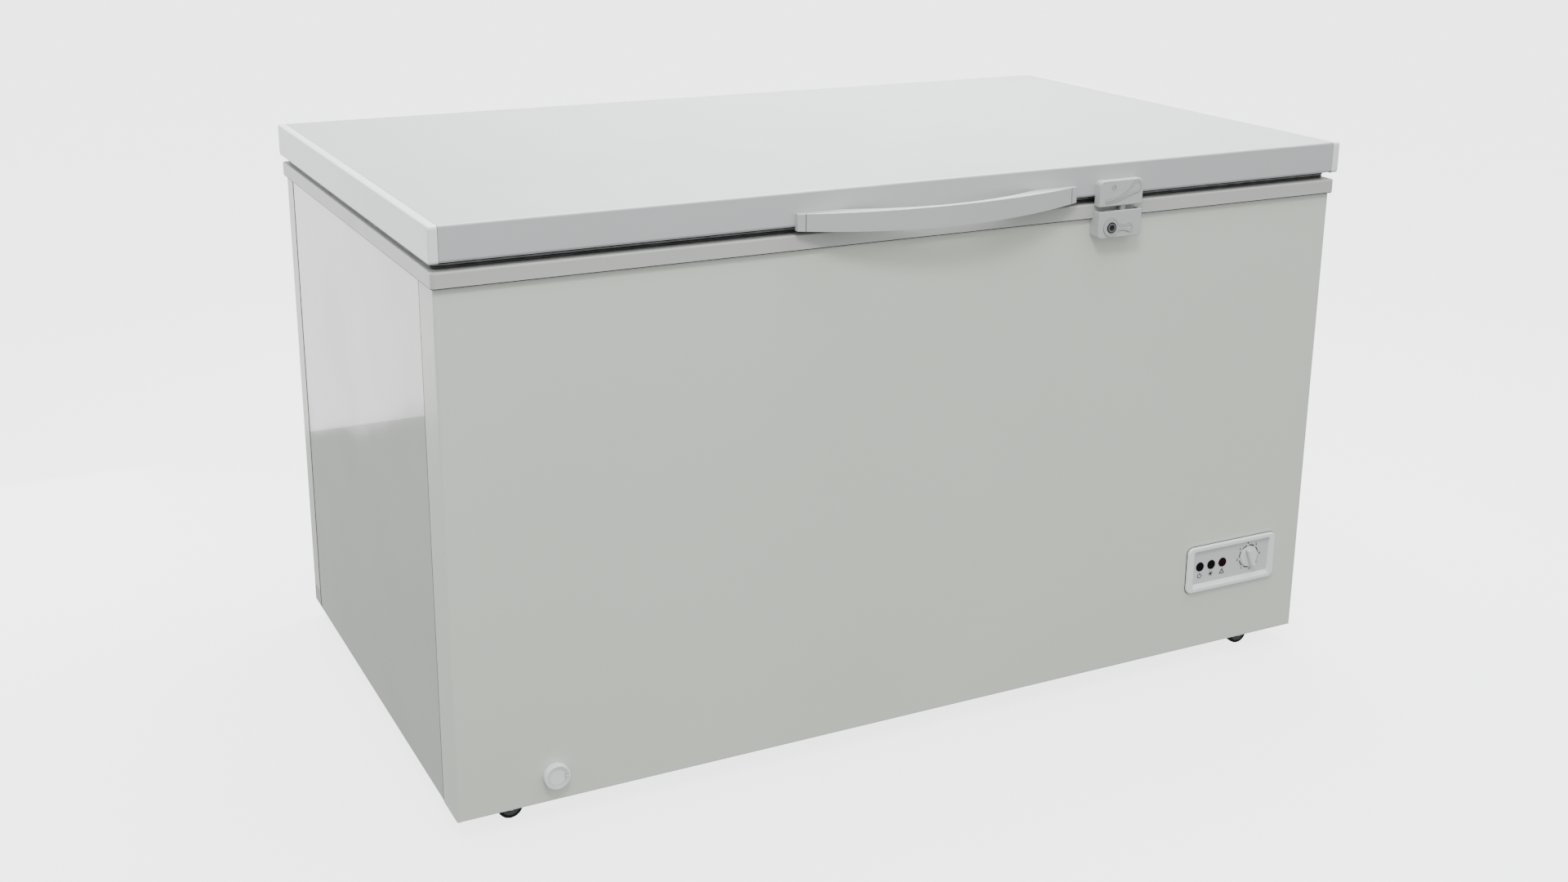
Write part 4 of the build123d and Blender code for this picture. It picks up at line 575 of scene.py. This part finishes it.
# ---------------------------------------------------------------- key cylinder
key_low, key_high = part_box("lock_cylinder")
key_x, key_z = (key_low.x + key_high.x) / 2, (key_low.z + key_high.z) / 2
for name, inner, outer in (("key_collar", 0.0062, 0.0079), ("key_face", 0.0009, 0.0046)):
    ring = [(inner, key_low.y - 0.00005), (inner + 0.0003, key_low.y - 0.0003),
            (outer - 0.0003, key_low.y - 0.0003), (outer, key_low.y + 0.0002),
            (outer, key_low.y + 0.0008), (inner, key_low.y + 0.0008)]
    ring.append(ring[0])
    piece(name, turned(name, ring, key_x, key_z, 48), KEY_METAL, "lock")

# ---------------------------------------------------------------- control panel print
fascia_low, fascia_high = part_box("control_fascia")
SILL = 0.005
SILL_EDGE = 0.0014
sill_y, sill_z = bezel_low.y + SILL_EDGE, fascia_low.z - 0.0006
sill = [(x, y, z) for x in (fascia_low.x - 0.0004, fascia_high.x + 0.0004)
        for y, z in ((sill_y, sill_z), (sill_y, fascia_low.z),
                     (fascia_low.y, fascia_low.z + SILL), (fascia_low.y, sill_z))]
piece("panel_sill", from_faces("panel_sill", sill, [(0, 1, 2, 3), (4, 5, 6, 7), (0, 1, 5, 4), (1, 2, 6, 5),
                                                    (2, 3, 7, 6), (3, 0, 4, 7)]),
      MATERIALS["white_plastic"], "cabinet")
knob_low, knob_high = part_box("thermostat_knob")
knob_x, knob_z = (knob_low.x + knob_high.x) / 2, (knob_low.z + knob_high.z) / 2
print_y = fascia_low.y - 0.00012
SCALE_RADIUS = 0.0187
NUMBER_RADIUS = 0.0228
NUMBER_HEIGHT = 0.0062
GROWTH = 0.00014
MARKS = [(-80, "0"), (-125, "1"), (-172, "2"), (-219, "3"),
         (-264, "4"), (-310, "5"), (-357, "6"), (-402, "7")]
figures = []
# Arcs between the numbers, thicker towards the coldest
for place, ((angle, _), (next_angle, _)) in enumerate(zip(MARKS, MARKS[1:])):
    thin = 0.0014 + GROWTH * place
    figures.append(arc_strip(knob_x, knob_z, SCALE_RADIUS, angle - 7, next_angle + 7, thin, thin + GROWTH))
piece("dial_scale", sheets("dial_scale", figures, print_y, fascia_low.y), INK, "cabinet")
for angle, digit in MARKS:
    text = bpy.data.curves.new("dial_number_" + digit, "FONT")
    text.body = digit
    text.size = NUMBER_HEIGHT
    text.align_x = "CENTER"
    text.align_y = "CENTER"
    text.extrude = 0.00006
    text.offset = 0.00016
    number = bpy.data.objects.new("dial_number_" + digit, text)
    bpy.context.scene.collection.objects.link(number)
    text.materials.append(INK)
    number.rotation_euler = (pi / 2, 0, 0)
    number.location = (knob_x + NUMBER_RADIUS * cos(radians(angle)), print_y + 0.00006,
                       knob_z + NUMBER_RADIUS * sin(radians(angle)))
    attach(number, "cabinet")

STROKE = 0.0014
signs = []
lamp_x = []
for name in ("lamp_power", "lamp_running", "lamp_alarm"):
    low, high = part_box(name)
    lamp_x.append((low.x + high.x) / 2)
    lamp_z = (low.z + high.z) / 2
sign_z = lamp_z - 0.0155
# Power sign: broken ring with an upright stroke
signs.append(arc_strip(lamp_x[0], sign_z, 0.0036, 122, 418, STROKE, STROKE))
signs.append(bar(lamp_x[0], sign_z + 0.0008, lamp_x[0], sign_z + 0.0050, STROKE))
# Cold sign: six spokes
for angle in (0, 60, 120):
    dx, dz = 0.0046 * cos(radians(angle)), 0.0046 * sin(radians(angle))
    signs.append(bar(lamp_x[1] - dx, sign_z - dz, lamp_x[1] + dx, sign_z + dz, STROKE))
# Warning sign: triangle with a stroke
corners = [(lamp_x[2] + 0.0052 * cos(radians(a)), sign_z - 0.0008 + 0.0052 * sin(radians(a)))
           for a in (90, 210, 330)]
for a, b in ((0, 1), (1, 2), (2, 0)):
    signs.append(bar(*corners[a], *corners[b], STROKE))
signs.append(bar(lamp_x[2], sign_z - 0.0012, lamp_x[2], sign_z + 0.0012, STROKE * 0.8))
piece("lamp_signs", sheets("lamp_signs", signs, print_y, fascia_low.y), INK, "cabinet")

# ---------------------------------------------------------------- floor and light
FLAT_REACH = 16.0
SWEEP = 14.0
SECTORS = 120
# Round floor that sweeps up into a backdrop
sweep = [(FLAT_REACH * step / 4, 0.0) for step in range(1, 5)]
for step in range(1, 18):
    rise = radians(5 * step)
    sweep.append((FLAT_REACH + SWEEP * sin(rise), SWEEP * (1 - cos(rise))))
rings = [[(r * cos(2 * pi * step / SECTORS), r * sin(2 * pi * step / SECTORS), z) for step in range(SECTORS)]
         for r, z in sweep]
floor_points, floor_faces = band(rings, True, False)
floor_faces.append(tuple(range(SECTORS - 1, -1, -1)))
floor_mesh = from_faces("floor", floor_points, floor_faces, True)
floor_shade = Shade("floor_paint", (0.45, 0.455, 0.46), 0.55)
floor_shade.tint(floor_shade.noise(1.2, 5.0), 0.985, 1.01)
floor_shade.bump(floor_shade.noise(160.0, 3.0), 0.0003, 0.4)
floor_shade.shader.inputs["Emission Color"].default_value = (1, 1, 1, 1)
floor_shade.shader.inputs["Emission Strength"].default_value = 3.0
floor_mesh.materials.append(floor_shade.material)
floor = bpy.data.objects.new("floor", floor_mesh)
bpy.context.scene.collection.objects.link(floor)
floor.visible_diffuse = False
floor.visible_glossy = False
floor.visible_shadow = False

world = bpy.data.worlds.new("studio")
bpy.context.scene.world = world
world.use_nodes = True
world_nodes, world_links = world.node_tree.nodes, world.node_tree.links
world_nodes["Background"].inputs["Color"].default_value = (0.97, 0.985, 1.0, 1)
# Brighter towards the top, as under a large soft ceiling
direction = world_nodes.new("ShaderNodeTexCoord")
parts = world_nodes.new("ShaderNodeSeparateXYZ")
height = world_nodes.new("ShaderNodeMapRange")
height.interpolation_type = "SMOOTHSTEP"
height.inputs["From Min"].default_value = -0.45
height.inputs["To Min"].default_value = 0.50
height.inputs["To Max"].default_value = 1.52
world_links.new(direction.outputs["Generated"], parts.inputs[0])
world_links.new(parts.outputs["Z"], height.inputs["Value"])
world_links.new(height.outputs["Result"], world_nodes["Background"].inputs["Strength"])


def soft_light(name, place, target, size, power, colour=(1, 1, 1)):
    """Rectangular soft light aimed at a point, hidden from the camera."""
    data = bpy.data.lights.new(name, "AREA")
    data.shape = "RECTANGLE"
    data.size, data.size_y = size
    data.energy = power
    data.color = colour
    light = bpy.data.objects.new(name, data)
    bpy.context.scene.collection.objects.link(light)
    light.location = place
    light.rotation_euler = (Vector(target) - Vector(place)).to_track_quat("-Z", "Y").to_euler()
    light.visible_camera = False


soft_light("overhead", (0.4, 0.3, 2.9), (0.2, 0.1, 0.8), (3.0, 2.2), 100, (1.0, 0.998, 0.99))
soft_light("lid", (0.45, 0.45, 1.95), (0.25, 0.1, 0.83), (1.5, 0.9), 52)
soft_light("key", (-0.9, -1.9, 2.9), (0.0, -0.4, 0.4), (0.8, 0.5), 42)
soft_light("left_panel", (-2.05, 1.32, 1.02), (-2.05, 0.0, 1.02), (2.4, 2.0), 32, (0.98, 0.99, 1.0))
